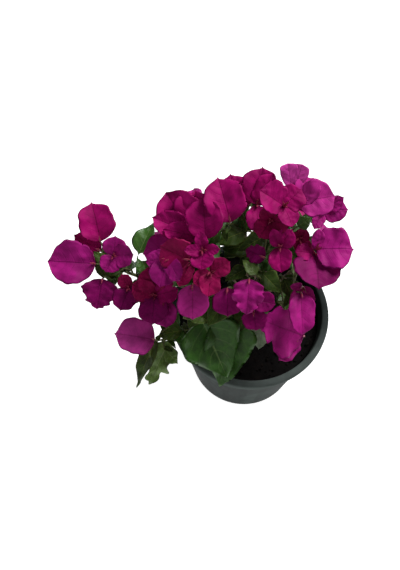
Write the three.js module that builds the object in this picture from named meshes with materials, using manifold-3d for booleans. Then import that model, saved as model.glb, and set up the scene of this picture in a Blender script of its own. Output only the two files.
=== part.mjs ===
// A bougainvillea bush in a round nursery pot.
//
// Millimetres, +Z up. The origin is the middle of the pot's flat underside. The open side of the
// bush faces -Y, and its longest spray reaches out over the rim towards -X.
//
// The pot and its soil are turned solids. A short leaning stem stands on the soil and carries one
// tapering bough for each spray. A spray is one solid: a stem that starts clear of its bough's tip,
// a twig to each blossom and each large leaf, and smaller leaves set along the twigs by a seeded
// rule. A blossom is up to three papery bracts round a slim floret.

import * as THREE from "three";
import { mergeVertices } from "three/addons/utils/BufferGeometryUtils.js";
import Module from "manifold-3d";

const wasm = await Module();
wasm.setup();

// ---------------------------------------------------------------- driving dimensions

const GAP = 0.3;

const POT = {
  height: 125,
  baseRadius: 55.5,
  shoulderRadius: 68.5,
  shoulderHeight: 104,
  skirtRadius: 71.5,
  skirtFlare: 0.8,
  rimRadius: 75,
  rimFall: 7,
  edge: 1,
  lip: 6.5,
  wall: 2.4,
  floor: 3,
  sides: 36,
  holeRadius: 4.5,
  holeCircle: 38,
  holes: 6,
  holeSides: 8,
  lugs: 4,
  lugSize: [7, 3.2, 5],
  firstLug: 36,
};

const SOIL = {
  top: 112,
  crown: 3,
  levelRadius: 28,
};

const TRUNK = {
  foot: [-1, 0, SOIL.top + SOIL.crown + GAP],
  elbow: [-1, 0, 140],
  tip: [-8, 4, 166],
  flareRadius: 9,
  flareLength: 1 / 6,
  footRadius: 7,
  tipRadius: 4.2,
  sides: 10,
  steps: 6,
};

const BOUGH = { rootRadius: 2.9, tipRadius: 1.9, sides: 5, steps: 4 };
const STEM = { rootRadius: 1.8, tipRadius: 1.2, sides: 4, steps: 3, straight: 0.5 };

// A twig's radii at its root, at its bend, where its bracts meet and at the floret's tip. Its bend
// lies behind its end by a share of its length, drawn back towards its root by another.
const TWIG = { radii: [1.1, 1, 1.5, 0.8], sides: 3, firstShare: 0.25, behind: 0.45, drawnBack: 0.3 };
const FLORET = { length: 11 };

const BRACT = { thickness: 1.1, curl: 24, curlPower: 1.5, fold: 10, sunk: 0 };
const LEAF = { thickness: 1, curl: 26, curlPower: 1.5, fold: 12, sunk: 2 };

// The ranges that the seeded rule draws a small leaf from, and the stalk's share of its length.
const SMALL_LEAF = {
  place: [0.4, 1],
  azimuth: [0, 360],
  elevation: [-25, 35],
  roll: [-35, 35],
  length: [20, 32],
  breadth: [0.5, 0.66],
  stalk: 0.25,
};

// How a blossom holds its bracts: the angle that they open to from its axis, and their width as a
// share of their length.
const FLAT = { open: 70, breadth: 0.88 };
const ROUND = { open: 68, breadth: 1 };
const BROAD = { open: 68, breadth: 1.14 };
const CUP = { open: 56, breadth: 1.04 };
const FOLDED = { open: 60, breadth: 0.6 };

// Half-widths along a bract and along a leaf, as shares of the full half-width, between the point
// at the root and the point at the tip.
const BRACT_OUTLINE = [[0.15, 0.7], [0.45, 1.02], [0.76, 0.7]];
const LEAF_OUTLINE = [[0.15, 0.12], [0.36, 1], [0.68, 0.74]];
const SMALL_LEAF_OUTLINE = [[0.4, 1], [0.72, 0.7]];

const COLOURS = {
  pot: "#434a47",
  soil: "#15110f",
  bark: "#6f604b",
  bract: "#a01c78",
  leaf: "#3c5a2b",
};
const ROUGHNESS = { pot: 0.5, soil: 0.95, bark: 0.85, foliage: 0.6 };

// ---------------------------------------------------------------- the sprays, as they grow

// A blossom: where its bracts meet, the azimuth and elevation that it faces, and its bracts.
function blossom(at, faces, bracts) {
  return { kind: "blossom", at, faces, bracts };
}

// A bract: its turn about the blossom's axis, its length and how it is held.
function bract(turn, length, habit = FLAT) {
  return { turn, length, habit };
}

// The three even bracts of a whole blossom.
function trio(turn, length, habit = FLAT) {
  return [0, 120, 240].map((step) => bract(turn + step, length, habit));
}

// A leaf: where its stalk starts, the azimuth and elevation that it points to, its roll about that
// line, its length and its width.
function leaf(at, faces, roll, length, width) {
  return { kind: "leaf", at, faces, roll, length, width };
}

// Each spray: where its bough leaves the trunk (as a share of the trunk's length), the bough's tip
// and how far the bough arches up on the way, the hub that the spray's stem runs to, how far small
// leaves may stand from that hub, how many are tried, and its shoots, from the foot of the stem on.
const SPRAYS = {
  far_left: {
    leaves: 0.26, tip: [-96, 12, 172], arch: 16, hub: [-125, 19, 186], space: 26, small: 4,
    shoots: [
      leaf([-115, 14, 186], [190, 5], -10, 24, 14),
      leaf([-119, 11, 184], [235, -10], 10, 18, 12),
      blossom([-121, 17, 204], [280, 55], [
        bract(345, 18, BROAD),
        bract(265, 18, BROAD),
        bract(145, 16, BROAD),
      ]),
      blossom([-131, 1, 192], [275, 50], [bract(165, 27, BROAD)]),
      leaf([-131, 18, 190], [135, 20], 0, 14, 10),
      blossom([-134, 34, 198], [290, 75], [bract(355, 36)]),
      blossom([-135, 31, 186], [250, 65], [bract(75, 28, FOLDED)]),
      blossom([-137, 13, 196], [250, 65], [bract(105, 42)]),
    ],
  },
  left: {
    leaves: 0.38, tip: [-70, -6, 178], arch: 14, hub: [-92, -8, 187], space: 28, small: 8,
    shoots: [
      blossom([-85, -18, 198], [260, 60], [
        bract(185, 25, ROUND),
        bract(70, 22),
        bract(295, 22),
        bract(20, 26),
      ]),
      blossom([-78, -21, 196], [270, 50], [bract(185, 24)]),
      leaf([-98, 6, 188], [100, 30], 20, 17, 9),
      leaf([-102, 23, 190], [65, 25], 0, 35, 20),
      leaf([-91, 11, 186], [150, 20], -10, 16, 13),
      blossom([-108, -8, 192], [265, 60], [bract(165, 21, ROUND), bract(235, 16, ROUND), bract(30, 14)]),
      leaf([-108, -1, 186], [160, 15], -10, 14, 12),
    ],
  },
  left_centre: {
    leaves: 0.6, tip: [-44, -8, 198], arch: -4, hub: [-52, -7, 222], space: 28, small: 6,
    shoots: [
      blossom([-53, -22, 228], [270, 50], [bract(180, 29)]),
      blossom([-55, -3, 230], [260, 60], [bract(165, 23, FOLDED)]),
      blossom([-57, 9, 226], [235, 65], [bract(125, 38)]),
      blossom([-55, -5, 238], [240, 50], [bract(85, 27, CUP)]),
      blossom([-73, -3, 238], [255, 60], [bract(180, 25), bract(115, 18), bract(225, 24, FOLDED)]),
      blossom([-39, -17, 240], [280, 60], [bract(290, 18), bract(115, 17), bract(165, 20)]),
      blossom([-45, -3, 250], [270, 60], [
        bract(175, 16, BROAD),
        bract(10, 17, FOLDED),
        bract(275, 15, FOLDED),
        bract(90, 16, FOLDED),
      ]),
    ],
  },
  upper_left: {
    leaves: 0.64, tip: [-34, 20, 204], arch: -10, hub: [-42, 20, 230], space: 28, small: 8,
    shoots: [
      blossom([-52, 18, 236], [240, 70], [bract(95, 38, FOLDED), bract(60, 43), bract(25, 38)]),
      blossom([-48, 15, 240], [240, 60], [bract(105, 30, FOLDED)]),
      blossom([-43, 9, 246], [255, 70], [bract(15, 34)]),
      blossom([-23, 21, 252], [260, 75], [bract(25, 38)]),
    ],
  },
  back: {
    leaves: 0.68, tip: [-8, 38, 204], arch: -12, hub: [-8, 44, 228], space: 28, small: 8,
    shoots: [
      leaf([-8, 31, 218], [80, 40], 15, 18, 12),
      blossom([-16, 40, 238], [255, 70], [bract(10, 26), bract(25, 32)]),
      blossom([-1, 41, 246], [260, 70], [bract(0, 32), bract(340, 30, FOLDED), bract(190, 29, FOLDED)]),
    ],
  },
  upper_right: {
    leaves: 0.54, tip: [20, 28, 212], arch: -10, hub: [27, 33, 238], space: 28, small: 8,
    shoots: [
      leaf([32, 24, 240], [30, 25], 15, 14, 12),
      blossom([53, 40, 238], [275, 60], [bract(270, 22), bract(300, 22, FOLDED), bract(150, 18, FOLDED)]),
      blossom([32, 38, 254], [285, 70], [bract(265, 30, ROUND), bract(315, 24)]),
      blossom([27, 45, 256], [260, 75], [bract(20, 25, FOLDED), bract(350, 25, FOLDED)]),
      blossom([18, 28, 265], [300, 70], [bract(35, 24, BROAD), bract(285, 20, BROAD), bract(170, 19)]),
    ],
  },
  centre: {
    leaves: 1, tip: [2, 6, 194], arch: 0, hub: [5, 8, 220], space: 28, small: 5,
    shoots: [
      leaf([-8, -2, 218], [210, 0], -5, 22, 12),
      leaf([3, -7, 220], [315, -10], 15, 24, 17),
      leaf([-1, -11, 222], [130, 20], 5, 18, 12),
      leaf([-4, 19, 216], [185, 5], -10, 25, 20),
      leaf([5, 24, 214], [225, -5], 5, 28, 18),
      leaf([-5, 26, 212], [205, -10], 0, 27, 18),
      leaf([-8, 31, 222], [205, 5], -10, 30, 20),
      leaf([7, 22, 228], [205, -5], -5, 26, 15),
      blossom([6, 2, 228], [215, 60], [bract(115, 18)]),
      blossom([16, 5, 241], [265, 55], [bract(190, 21), bract(330, 18), bract(25, 18, FOLDED)]),
      blossom([9, 24, 250], [260, 55], [bract(155, 18, CUP), bract(270, 18, CUP), bract(30, 14, CUP)]),
    ],
  },
  right: {
    leaves: 0.38, tip: [32, 8, 192], arch: -4, hub: [41, 9, 214], space: 28, small: 6,
    shoots: [
      leaf([30, -9, 216], [85, 30], 45, 20, 9),
      blossom([47, 7, 226], [290, 80], [bract(160, 34, BROAD), bract(70, 18)]),
      blossom([47, 8, 231], [300, 75], [bract(240, 31, BROAD), bract(325, 18, FOLDED)]),
      blossom([35, 19, 230], [260, 45], [bract(210, 14, CUP), bract(340, 12, CUP), bract(90, 12, CUP)]),
    ],
  },
  front: {
    leaves: 0.44, tip: [-8, -16, 180], arch: -6, hub: [-10, -21, 204], space: 28, small: 8,
    shoots: [
      leaf([-23, -16, 194], [235, -5], 0, 32, 22),
      leaf([-3, -18, 186], [245, -15], 0, 29, 22),
      blossom([-3, -34, 206], [260, 50], [bract(195, 18, BROAD)]),
      blossom([-25, -21, 220], [260, 50], [bract(190, 24, ROUND)]),
      blossom([-5, -29, 216], [290, 55], [bract(240, 20)]),
      blossom([-8, -19, 232], [265, 55], [bract(180, 29)]),
    ],
  },
  front_right: {
    leaves: 0.18, tip: [16, -8, 160], arch: 4, hub: [27, -18, 186], space: 26, small: 6,
    shoots: [
      leaf([10, -24, 160], [255, -25], 10, 28, 22),
      blossom([35, -50, 182], [285, 60], [bract(120, 27, FOLDED)]),
      blossom([40, -49, 184], [285, 60], [bract(55, 44, ROUND)]),
      leaf([23, -4, 204], [290, -5], 15, 21, 12),
      blossom([34, -25, 220], [275, 55], [bract(175, 36, FOLDED)]),
      blossom([38, -14, 208], [270, 50], [
        bract(210, 18, FOLDED),
        bract(85, 12, FOLDED),
        bract(155, 23, FOLDED),
      ]),
    ],
  },
  lower_left: {
    leaves: 0.13, tip: [-50, -26, 150], arch: 12, hub: [-70, -38, 158], space: 24, small: 5,
    shoots: [
      leaf([-61, -36, 165], [185, -10], 0, 26, 17),
      leaf([-72, -36, 156], [240, -35], -15, 58, 27),
      leaf([-81, -36, 160], [235, -35], 5, 64, 16),
      leaf([-78, -49, 150], [320, -25], 5, 18, 14),
      blossom([-86, -46, 168], [300, 80], [bract(55, 36)]),
    ],
  },
  low_front: {
    leaves: 0.24, tip: [-18, -14, 150], arch: 4, hub: [-30, -20, 166], space: 24, small: 6,
    shoots: [
      leaf([-42, -16, 184], [235, -15], 0, 29, 20),
      leaf([-17, -17, 172], [260, -25], -10, 75, 44),
      leaf([-49, -22, 176], [295, -20], 10, 66, 52),
      leaf([-57, -33, 182], [355, 5], -20, 20, 10),
    ],
  },
  back_left: {
    leaves: 0.33, tip: [-34, 36, 164], arch: 8, hub: [-50, 52, 184], space: 40, small: 10,
    shoots: [
      leaf([-30, 56, 168], [90, -15], -10, 38, 24),
      leaf([-52, 60, 172], [125, -5], 10, 36, 22),
      leaf([-66, 40, 170], [165, -10], 5, 34, 20),
      blossom([-76, 46, 182], [150, 40], trio(40, 24)),
      blossom([-34, 74, 192], [95, 35], trio(70, 27)),
      blossom([-58, 62, 204], [120, 60], trio(20, 28)),
    ],
  },
  back_right: {
    leaves: 0.3, tip: [20, 36, 164], arch: 8, hub: [34, 52, 186], space: 40, small: 10,
    shoots: [
      leaf([12, 60, 170], [100, -15], 10, 38, 24),
      leaf([36, 58, 172], [60, -10], -5, 36, 22),
      leaf([54, 34, 172], [10, -15], 5, 34, 20),
      blossom([62, 36, 190], [20, 35], trio(30, 25)),
      blossom([10, 72, 196], [95, 35], trio(50, 27)),
      blossom([42, 60, 206], [70, 55], trio(10, 28)),
    ],
  },
};

// ---------------------------------------------------------------- vectors and the seeded rule

const vector = (xyz) => new THREE.Vector3(...xyz);
const lerp = (low, high, share) => low + (high - low) * share;

function heading(azimuth, elevation) {
  const flat = Math.cos(THREE.MathUtils.degToRad(elevation));
  const around = THREE.MathUtils.degToRad(azimuth);
  const up = Math.sin(THREE.MathUtils.degToRad(elevation));
  return new THREE.Vector3(flat * Math.cos(around), flat * Math.sin(around), up);
}

// The direction nearest to straight up that is square to a line.
function uprightTo(line) {
  const up = new THREE.Vector3(0, 0, 1);
  if (Math.abs(line.z) > 0.999) {
    up.set(0, 1, 0);
  }
  return up.addScaledVector(line, -up.dot(line)).normalize();
}

function turned(direction, axis, degrees) {
  return direction.clone().applyAxisAngle(axis, THREE.MathUtils.degToRad(degrees));
}

function seededDraws(seed) {
  let state = seed;
  return (low, high) => {
    state = (Math.imul(state, 1664525) + 1013904223) >>> 0;
    return lerp(low, high, state / 4294967296);
  };
}

// ---------------------------------------------------------------- solids

// A closed geometry as a solid, with its shared corners merged and the faces that close up to
// nothing at a point left out.
function toSolid(geometry) {
  const plain = new THREE.BufferGeometry();
  plain.setAttribute("position", geometry.getAttribute("position").clone());
  plain.setIndex(geometry.getIndex().clone());
  const merged = mergeVertices(plain, 1e-4);
  const corners = merged.getIndex().array;
  const faces = [];
  for (let face = 0; face < corners.length; face += 3) {
    const [one, two, three] = corners.slice(face, face + 3);
    if (one !== two && two !== three && three !== one) {
      faces.push(one, two, three);
    }
  }
  return new wasm.Manifold(new wasm.Mesh({
    numProp: 3,
    vertProperties: Float32Array.from(merged.getAttribute("position").array),
    triVerts: Uint32Array.from(faces),
  }));
}

function toGeometry(solid) {
  const mesh = solid.getMesh();
  const geometry = new THREE.BufferGeometry();
  const places = new Float32Array((mesh.vertProperties.length / mesh.numProp) * 3);
  for (let corner = 0; corner < places.length / 3; corner += 1) {
    for (let axis = 0; axis < 3; axis += 1) {
      places[corner * 3 + axis] = mesh.vertProperties[corner * mesh.numProp + axis];
    }
  }
  geometry.setAttribute("position", new THREE.BufferAttribute(places, 3));
  geometry.setIndex(Array.from(mesh.triVerts));
  geometry.computeVertexNormals();
  return geometry;
}

// A tapering limb: a cylinder whose rings are carried along a curve, each turned as little as can
// be from the one before.
function limbSolid(curve, radiusAt, sides, steps) {
  const geometry = new THREE.CylinderGeometry(1, 1, 1, sides, steps);
  const position = geometry.getAttribute("position");
  const rings = [];
  let level = uprightTo(curve.getTangent(0).normalize());
  for (let step = 0; step <= steps; step += 1) {
    const along = curve.getTangent(step / steps).normalize();
    level = level.clone().addScaledVector(along, -level.dot(along)).normalize();
    rings.push({ across: level, aside: new THREE.Vector3().crossVectors(along, level) });
  }
  for (let corner = 0; corner < position.count; corner += 1) {
    const share = position.getY(corner) + 0.5;
    const { across, aside } = rings[Math.round(share * steps)];
    const place = curve.getPoint(share);
    place.addScaledVector(aside, position.getX(corner) * radiusAt(share));
    place.addScaledVector(across, position.getZ(corner) * radiusAt(share));
    position.setXYZ(corner, place.x, place.y, place.z);
  }
  return toSolid(geometry);
}

// A thin blade with a ridge down each face: a four-sided cone whose rings are spread to the
// outline, folded up along the midrib and curled back towards the tip. Its root runs to a point.
function bladeSolid(root, direction, face, length, width, outline, form, swell = 0) {
  const steps = outline.length + 1;
  const geometry = new THREE.ConeGeometry(1, 1, 4, steps);
  const position = geometry.getAttribute("position");
  const along = direction.clone().normalize();
  const outward = face.clone().addScaledVector(along, -face.dot(along)).normalize();
  const aside = new THREE.Vector3().crossVectors(along, outward);
  const rings = [];
  const place = root.clone().addScaledVector(along, -form.sunk);
  let reached = 0;
  for (const [share, spread] of [[0, 0], ...outline, [1, 0]]) {
    const bend = -form.curl * share ** form.curlPower;
    const step = turned(along, aside, bend);
    place.addScaledVector(step, (share - reached) * (length + form.sunk));
    rings.push({ middle: place.clone(), normal: turned(outward, aside, bend), spread });
    reached = share;
  }
  const lift = Math.sin(THREE.MathUtils.degToRad(form.fold));
  const level = Math.cos(THREE.MathUtils.degToRad(form.fold));
  for (let corner = 0; corner < position.count; corner += 1) {
    const ring = rings[Math.round((position.getY(corner) + 0.5) * steps)];
    const size = Math.hypot(position.getX(corner), position.getZ(corner));
    const side = ring.spread > 0 ? position.getX(corner) / size : 0;
    const skin = ring.spread > 0 ? position.getZ(corner) / size : 0;
    const half = (width / 2) * ring.spread + swell;
    const point = ring.middle.clone();
    point.addScaledVector(aside, side * half * level);
    point.addScaledVector(ring.normal, Math.abs(side) * half * lift);
    point.addScaledVector(ring.normal, skin * (form.thickness / 2 + swell));
    position.setXYZ(corner, point.x, point.y, point.z);
  }
  return toSolid(geometry);
}

// The largest single body of a solid, with any loose scrap and any sealed hollow left out.
function mainBody(solid) {
  const bodies = solid.decompose();
  bodies.sort((one, other) => other.volume() - one.volume());
  return bodies[0];
}

const meets = (one, other) => !one.intersect(other).isEmpty();

// ---------------------------------------------------------------- pot, soil and trunk

function turnedSolid(profile, sides) {
  const points = profile.map(([radius, height]) => new THREE.Vector2(radius, height));
  const geometry = new THREE.LatheGeometry(points, sides);
  geometry.rotateX(Math.PI / 2);
  return toSolid(geometry);
}

// The wall's outer radius at a height below the shoulder.
function wallRadius(height) {
  return lerp(POT.baseRadius, POT.shoulderRadius, height / POT.shoulderHeight);
}

function potSolid() {
  const rimFoot = POT.height - POT.rimFall;
  const mouth = POT.rimRadius - POT.lip;
  let pot = turnedSolid([
    [0, 0],
    [POT.baseRadius, 0],
    [POT.shoulderRadius, POT.shoulderHeight],
    [POT.skirtRadius, POT.shoulderHeight + POT.edge],
    [POT.skirtRadius + POT.skirtFlare, rimFoot],
    [POT.rimRadius, rimFoot + POT.edge],
    [POT.rimRadius, POT.height - POT.edge],
    [POT.rimRadius - POT.edge, POT.height],
    [mouth, POT.height],
    [wallRadius(POT.shoulderHeight) - POT.wall, POT.shoulderHeight],
    [wallRadius(POT.floor) - POT.wall, POT.floor],
    [0, POT.floor],
  ], POT.sides);
  for (let hole = 0; hole < POT.holes; hole += 1) {
    const around = (hole / POT.holes) * Math.PI * 2;
    const through = POT.floor * 3;
    const drill = new THREE.CylinderGeometry(POT.holeRadius, POT.holeRadius, through, POT.holeSides);
    drill.rotateX(Math.PI / 2);
    drill.translate(POT.holeCircle * Math.cos(around), POT.holeCircle * Math.sin(around), 0);
    pot = pot.subtract(toSolid(drill));
  }
  const [, lugDepth, lugHeight] = POT.lugSize;
  for (let lug = 0; lug < POT.lugs; lug += 1) {
    const block = new THREE.BoxGeometry(...POT.lugSize);
    block.translate(0, -(POT.skirtRadius + lugDepth / 4), rimFoot + POT.edge - lugHeight / 2);
    block.rotateZ(THREE.MathUtils.degToRad(POT.firstLug + (lug / POT.lugs) * 360));
    pot = pot.add(toSolid(block));
  }
  return pot;
}

function soilSolid() {
  const low = POT.floor + GAP;
  const inset = POT.wall + GAP;
  return turnedSolid([
    [0, low],
    [wallRadius(low) - inset, low],
    [wallRadius(POT.shoulderHeight) - inset, POT.shoulderHeight],
    [wallRadius(POT.shoulderHeight) - inset, SOIL.top],
    [SOIL.levelRadius, SOIL.top + SOIL.crown],
    [0, SOIL.top + SOIL.crown],
  ], POT.sides);
}

const trunkCurve = new THREE.QuadraticBezierCurve3(
  vector(TRUNK.foot), vector(TRUNK.elbow), vector(TRUNK.tip));

// The trunk, or with a swell the space that its neighbours keep clear of.
function trunkSolid(swell = 0) {
  const radiusAt = (share) => {
    const flaring = Math.max(0, 1 - share / TRUNK.flareLength);
    const flare = (TRUNK.flareRadius - TRUNK.footRadius) * flaring;
    return lerp(TRUNK.footRadius, TRUNK.tipRadius, share) + flare + swell;
  };
  const curve = trunkCurve.clone();
  curve.v2.addScaledVector(trunkCurve.getTangent(1), swell);
  return limbSolid(curve, radiusAt, TRUNK.sides, TRUNK.steps);
}

// ---------------------------------------------------------------- boughs

// The bough starts on the trunk's own line and is cut back to stand clear of the bark.
function boughCurve(spray) {
  const start = trunkCurve.getPoint(spray.leaves);
  const tip = vector(spray.tip);
  const middle = start.clone().lerp(tip, 0.5);
  middle.z += spray.arch;
  return new THREE.QuadraticBezierCurve3(start, middle, tip);
}

function boughSolid(spray, clearTrunk) {
  const radiusAt = (share) => lerp(BOUGH.rootRadius, BOUGH.tipRadius, share);
  const bough = limbSolid(boughCurve(spray), radiusAt, BOUGH.sides, BOUGH.steps);
  return mainBody(bough.subtract(clearTrunk));
}

// ---------------------------------------------------------------- sprays

function stemCurve(spray) {
  const onward = boughCurve(spray).getTangent(1).normalize();
  const start = vector(spray.tip).addScaledVector(onward, GAP);
  const hub = vector(spray.hub);
  const middle = start.clone().addScaledVector(onward, STEM.straight * start.distanceTo(hub));
  return new THREE.QuadraticBezierCurve3(start, middle, hub);
}

// A twig leaves the spray's stem and comes into its blossom or leaf from behind. In a blossom it
// runs on through the bracts as the floret.
function twigPoints(stem, shoot, share) {
  const ahead = heading(...shoot.faces);
  const start = stem.getPoint(share);
  const at = vector(shoot.at);
  const bend = at.clone().addScaledVector(ahead, -TWIG.behind * start.distanceTo(at));
  const points = [start, bend.lerp(start, TWIG.drawnBack), at];
  if (shoot.kind === "blossom") {
    points.push(at.clone().addScaledVector(ahead, FLORET.length));
  }
  return points;
}

function twigSolid(points) {
  const curve = new THREE.CatmullRomCurve3(points);
  const steps = points.length - 1;
  return limbSolid(curve, (share) => TWIG.radii[Math.round(share * steps)], TWIG.sides, steps);
}

// The bracts of a blossom, each as a function that gives its solid, a little swollen if asked.
function bractMakers(shoot) {
  const axis = heading(...shoot.faces);
  return shoot.bracts.map(({ turn, length, habit }) => {
    const away = turned(uprightTo(axis), axis, turn);
    const open = THREE.MathUtils.degToRad(habit.open);
    const direction = axis.clone().multiplyScalar(Math.cos(open));
    direction.addScaledVector(away, Math.sin(open));
    const face = axis.clone().multiplyScalar(Math.sin(open));
    face.addScaledVector(away, -Math.cos(open));
    return (swell) => bladeSolid(vector(shoot.at), direction, face, length,
      length * habit.breadth, BRACT_OUTLINE, BRACT, swell);
  });
}

function leafMaker(at, direction, roll, length, width, outline = LEAF_OUTLINE) {
  const face = turned(uprightTo(direction), direction, roll);
  return (swell) => bladeSolid(at, direction, face, length, width, outline, LEAF, swell);
}

// Small leaves along the twigs: the seeded rule draws a twig, a place on it and a heading. Each
// comes with a second maker, of the blade past its stalk, which shows whether it would cross what
// grows there already. Those that would leave the spray's space round its hub are skipped.
function smallLeaves(spray, twigs, draw) {
  const leaves = [];
  const hub = vector(spray.hub);
  for (let count = 0; count < spray.small; count += 1) {
    const twig = twigs[Math.floor(draw(0, twigs.length))];
    const at = twig[0].clone().lerp(twig[1], draw(...SMALL_LEAF.place));
    const direction = heading(draw(...SMALL_LEAF.azimuth), draw(...SMALL_LEAF.elevation));
    const roll = draw(...SMALL_LEAF.roll);
    const length = draw(...SMALL_LEAF.length);
    const width = length * draw(...SMALL_LEAF.breadth);
    const tip = at.clone().addScaledVector(direction, length);
    const neck = at.clone().addScaledVector(direction, length * SMALL_LEAF.stalk);
    if (tip.distanceTo(hub) < spray.space) {
      leaves.push({
        whole: leafMaker(at, direction, roll, length, width, SMALL_LEAF_OUTLINE),
        free: leafMaker(neck, direction, roll, length * (1 - SMALL_LEAF.stalk), width),
      });
    }
  }
  return leaves;
}

function spraySkeleton(spray) {
  const stem = stemCurve(spray);
  const twigs = spray.shoots.map((shoot, place) => {
    const share = lerp(TWIG.firstShare, 1, (place + 1) / spray.shoots.length);
    return twigPoints(stem, shoot, share);
  });
  const radiusAt = (share) => lerp(STEM.rootRadius, STEM.tipRadius, share);
  let solid = limbSolid(stem, radiusAt, STEM.sides, STEM.steps);
  for (const twig of twigs) {
    solid = solid.add(twigSolid(twig));
  }
  return { solid, twigs };
}

// Adds the blades that stand clear of every other node, and leaves out the rest.
function dressedSpray(spray, skeleton, others, draw) {
  let solid = skeleton.solid;
  const makers = [];
  for (const shoot of spray.shoots) {
    if (shoot.kind === "leaf") {
      const direction = heading(...shoot.faces);
      makers.push(leafMaker(vector(shoot.at), direction, shoot.roll, shoot.length, shoot.width));
    } else {
      makers.push(...bractMakers(shoot));
    }
  }
  const standsClear = (maker) => {
    const roomy = maker(GAP);
    return !others.some((other) => meets(roomy, other));
  };
  for (const maker of makers.filter(standsClear)) {
    solid = solid.add(maker(0));
  }
  for (const { whole, free } of smallLeaves(spray, skeleton.twigs, draw)) {
    if (standsClear(whole) && !meets(free(GAP), solid)) {
      solid = solid.add(whole(0));
    }
  }
  return mainBody(solid);
}

// ---------------------------------------------------------------- the whole plant

const group = new THREE.Group();

function addNode(name, solid, colour, roughness) {
  const material = new THREE.MeshStandardMaterial({ color: colour, roughness, metalness: 0 });
  const mesh = new THREE.Mesh(toGeometry(solid), material);
  mesh.name = name;
  group.add(mesh);
}

const pot = potSolid();
const soil = soilSolid();
const trunk = trunkSolid();
const clearTrunk = trunkSolid(GAP);
addNode("pot", pot, COLOURS.pot, ROUGHNESS.pot);
addNode("soil", soil, COLOURS.soil, ROUGHNESS.soil);
addNode("trunk", trunk, COLOURS.bark, ROUGHNESS.bark);

const carriers = [pot, soil, trunk];
for (const [name, spray] of Object.entries(SPRAYS)) {
  const bough = boughSolid(spray, clearTrunk);
  addNode(`${name}_bough`, bough, COLOURS.bark, ROUGHNESS.bark);
  carriers.push(bough);
}

const skeletons = Object.values(SPRAYS).map(spraySkeleton);
const dressed = [];
Object.entries(SPRAYS).forEach(([name, spray], place) => {
  const bare = skeletons.filter((skeleton, other) => other > place).map((one) => one.solid);
  const others = [...carriers, ...bare, ...dressed];
  const solid = dressedSpray(spray, skeletons[place], others, seededDraws(place + 1));
  dressed.push(solid);
  const leafy = spray.shoots.every((shoot) => shoot.kind === "leaf");
  addNode(`${name}_foliage`, solid, leafy ? COLOURS.leaf : COLOURS.bract, ROUGHNESS.foliage);
});

export default group;
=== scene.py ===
"""A bougainvillea bush in a round nursery pot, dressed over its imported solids.

The pot and the soil are modelled in edit mode. The trunk and the boughs are lofted along their own
curves with bark relief. Each mass of foliage is grown again by the rule of the solids: a stem, a
twig to each blossom and leaf, bracts, leaves and florets. What is grown is gathered by kind and
tint. Sizes of the plant are millimetres, as in the solids, until a mesh is made.
"""

from __future__ import annotations

import logging
import math
from dataclasses import dataclass, field, replace
from enum import Enum
from typing import Callable, Sequence

import bpy
from mathutils import Matrix, Vector, noise


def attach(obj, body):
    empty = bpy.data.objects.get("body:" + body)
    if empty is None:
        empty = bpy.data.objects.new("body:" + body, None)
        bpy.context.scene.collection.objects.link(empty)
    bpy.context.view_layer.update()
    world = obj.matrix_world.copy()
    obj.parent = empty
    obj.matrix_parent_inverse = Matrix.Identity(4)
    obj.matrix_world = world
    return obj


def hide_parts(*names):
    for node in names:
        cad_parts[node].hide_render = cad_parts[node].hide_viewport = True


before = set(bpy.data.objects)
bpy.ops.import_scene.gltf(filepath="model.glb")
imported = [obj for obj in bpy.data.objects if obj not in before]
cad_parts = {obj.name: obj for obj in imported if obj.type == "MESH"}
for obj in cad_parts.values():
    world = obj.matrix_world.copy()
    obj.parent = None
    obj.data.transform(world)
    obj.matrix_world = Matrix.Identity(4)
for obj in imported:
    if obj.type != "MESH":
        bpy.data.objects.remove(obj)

LOG = logging.getLogger("bougainvillea")
MM = 0.001
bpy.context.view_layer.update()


# ---------------------------------------------------------------- vectors and the seeded rule


def lerp(low: float, high: float, share: float) -> float:
    """The number that lies a share of the way from low to high."""
    return low + (high - low) * share


def smooth(low: float, high: float, value: float) -> float:
    """0 below low, 1 above high, and an even S between them."""
    share = min(1.0, max(0.0, (value - low) / (high - low)))
    return share * share * (3 - 2 * share)


def heading(azimuth: float, elevation: float) -> Vector:
    """The unit vector of an azimuth and an elevation in degrees."""
    around = math.radians(azimuth)
    up = math.radians(elevation)
    return Vector((math.cos(up) * math.cos(around), math.cos(up) * math.sin(around), math.sin(up)))


def upright_to(line: Vector) -> Vector:
    """The direction nearest to straight up that is square to a line."""
    up = Vector((0, 1, 0)) if abs(line.z) > 0.999 else Vector((0, 0, 1))
    return (up - line * up.dot(line)).normalized()


def turned(direction: Vector, axis: Vector, degrees: float) -> Vector:
    """A direction turned about an axis.

    Args:
        direction: What is turned.
        axis: The unit vector that it turns about.
        degrees: The angle, by the right hand.

    Returns:
        The turned direction.
    """
    return Matrix.Rotation(math.radians(degrees), 3, axis) @ direction


class Draws:
    """Random numbers that come the same in every run, by the rule of the solids."""

    factor = 1664525
    step = 1013904223
    size = 2 ** 32

    def __init__(self, seed: int) -> None:
        """Starts the row of numbers at a seed."""
        self.state = seed

    def __call__(self, low: float, high: float) -> float:
        """The next number, between low and high."""
        self.state = (self.state * self.factor + self.step) % self.size
        return lerp(low, high, self.state / self.size)


@dataclass(frozen=True)
class Arc:
    """A quadratic curve from a start to an end, drawn towards a middle."""

    start: Vector
    middle: Vector
    end: Vector

    def point(self, share: float) -> Vector:
        """The place at a share of the curve."""
        return self.start.lerp(self.middle, share).lerp(self.middle.lerp(self.end, share), share)

    def tangent(self, share: float) -> Vector:
        """The unit direction at a share of the curve."""
        return ((self.middle - self.start).lerp(self.end - self.middle, share)).normalized()

    def points(self, steps: int) -> list[Vector]:
        """Evenly shared places from the start to the end."""
        return [self.point(step / steps) for step in range(steps + 1)]


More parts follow.
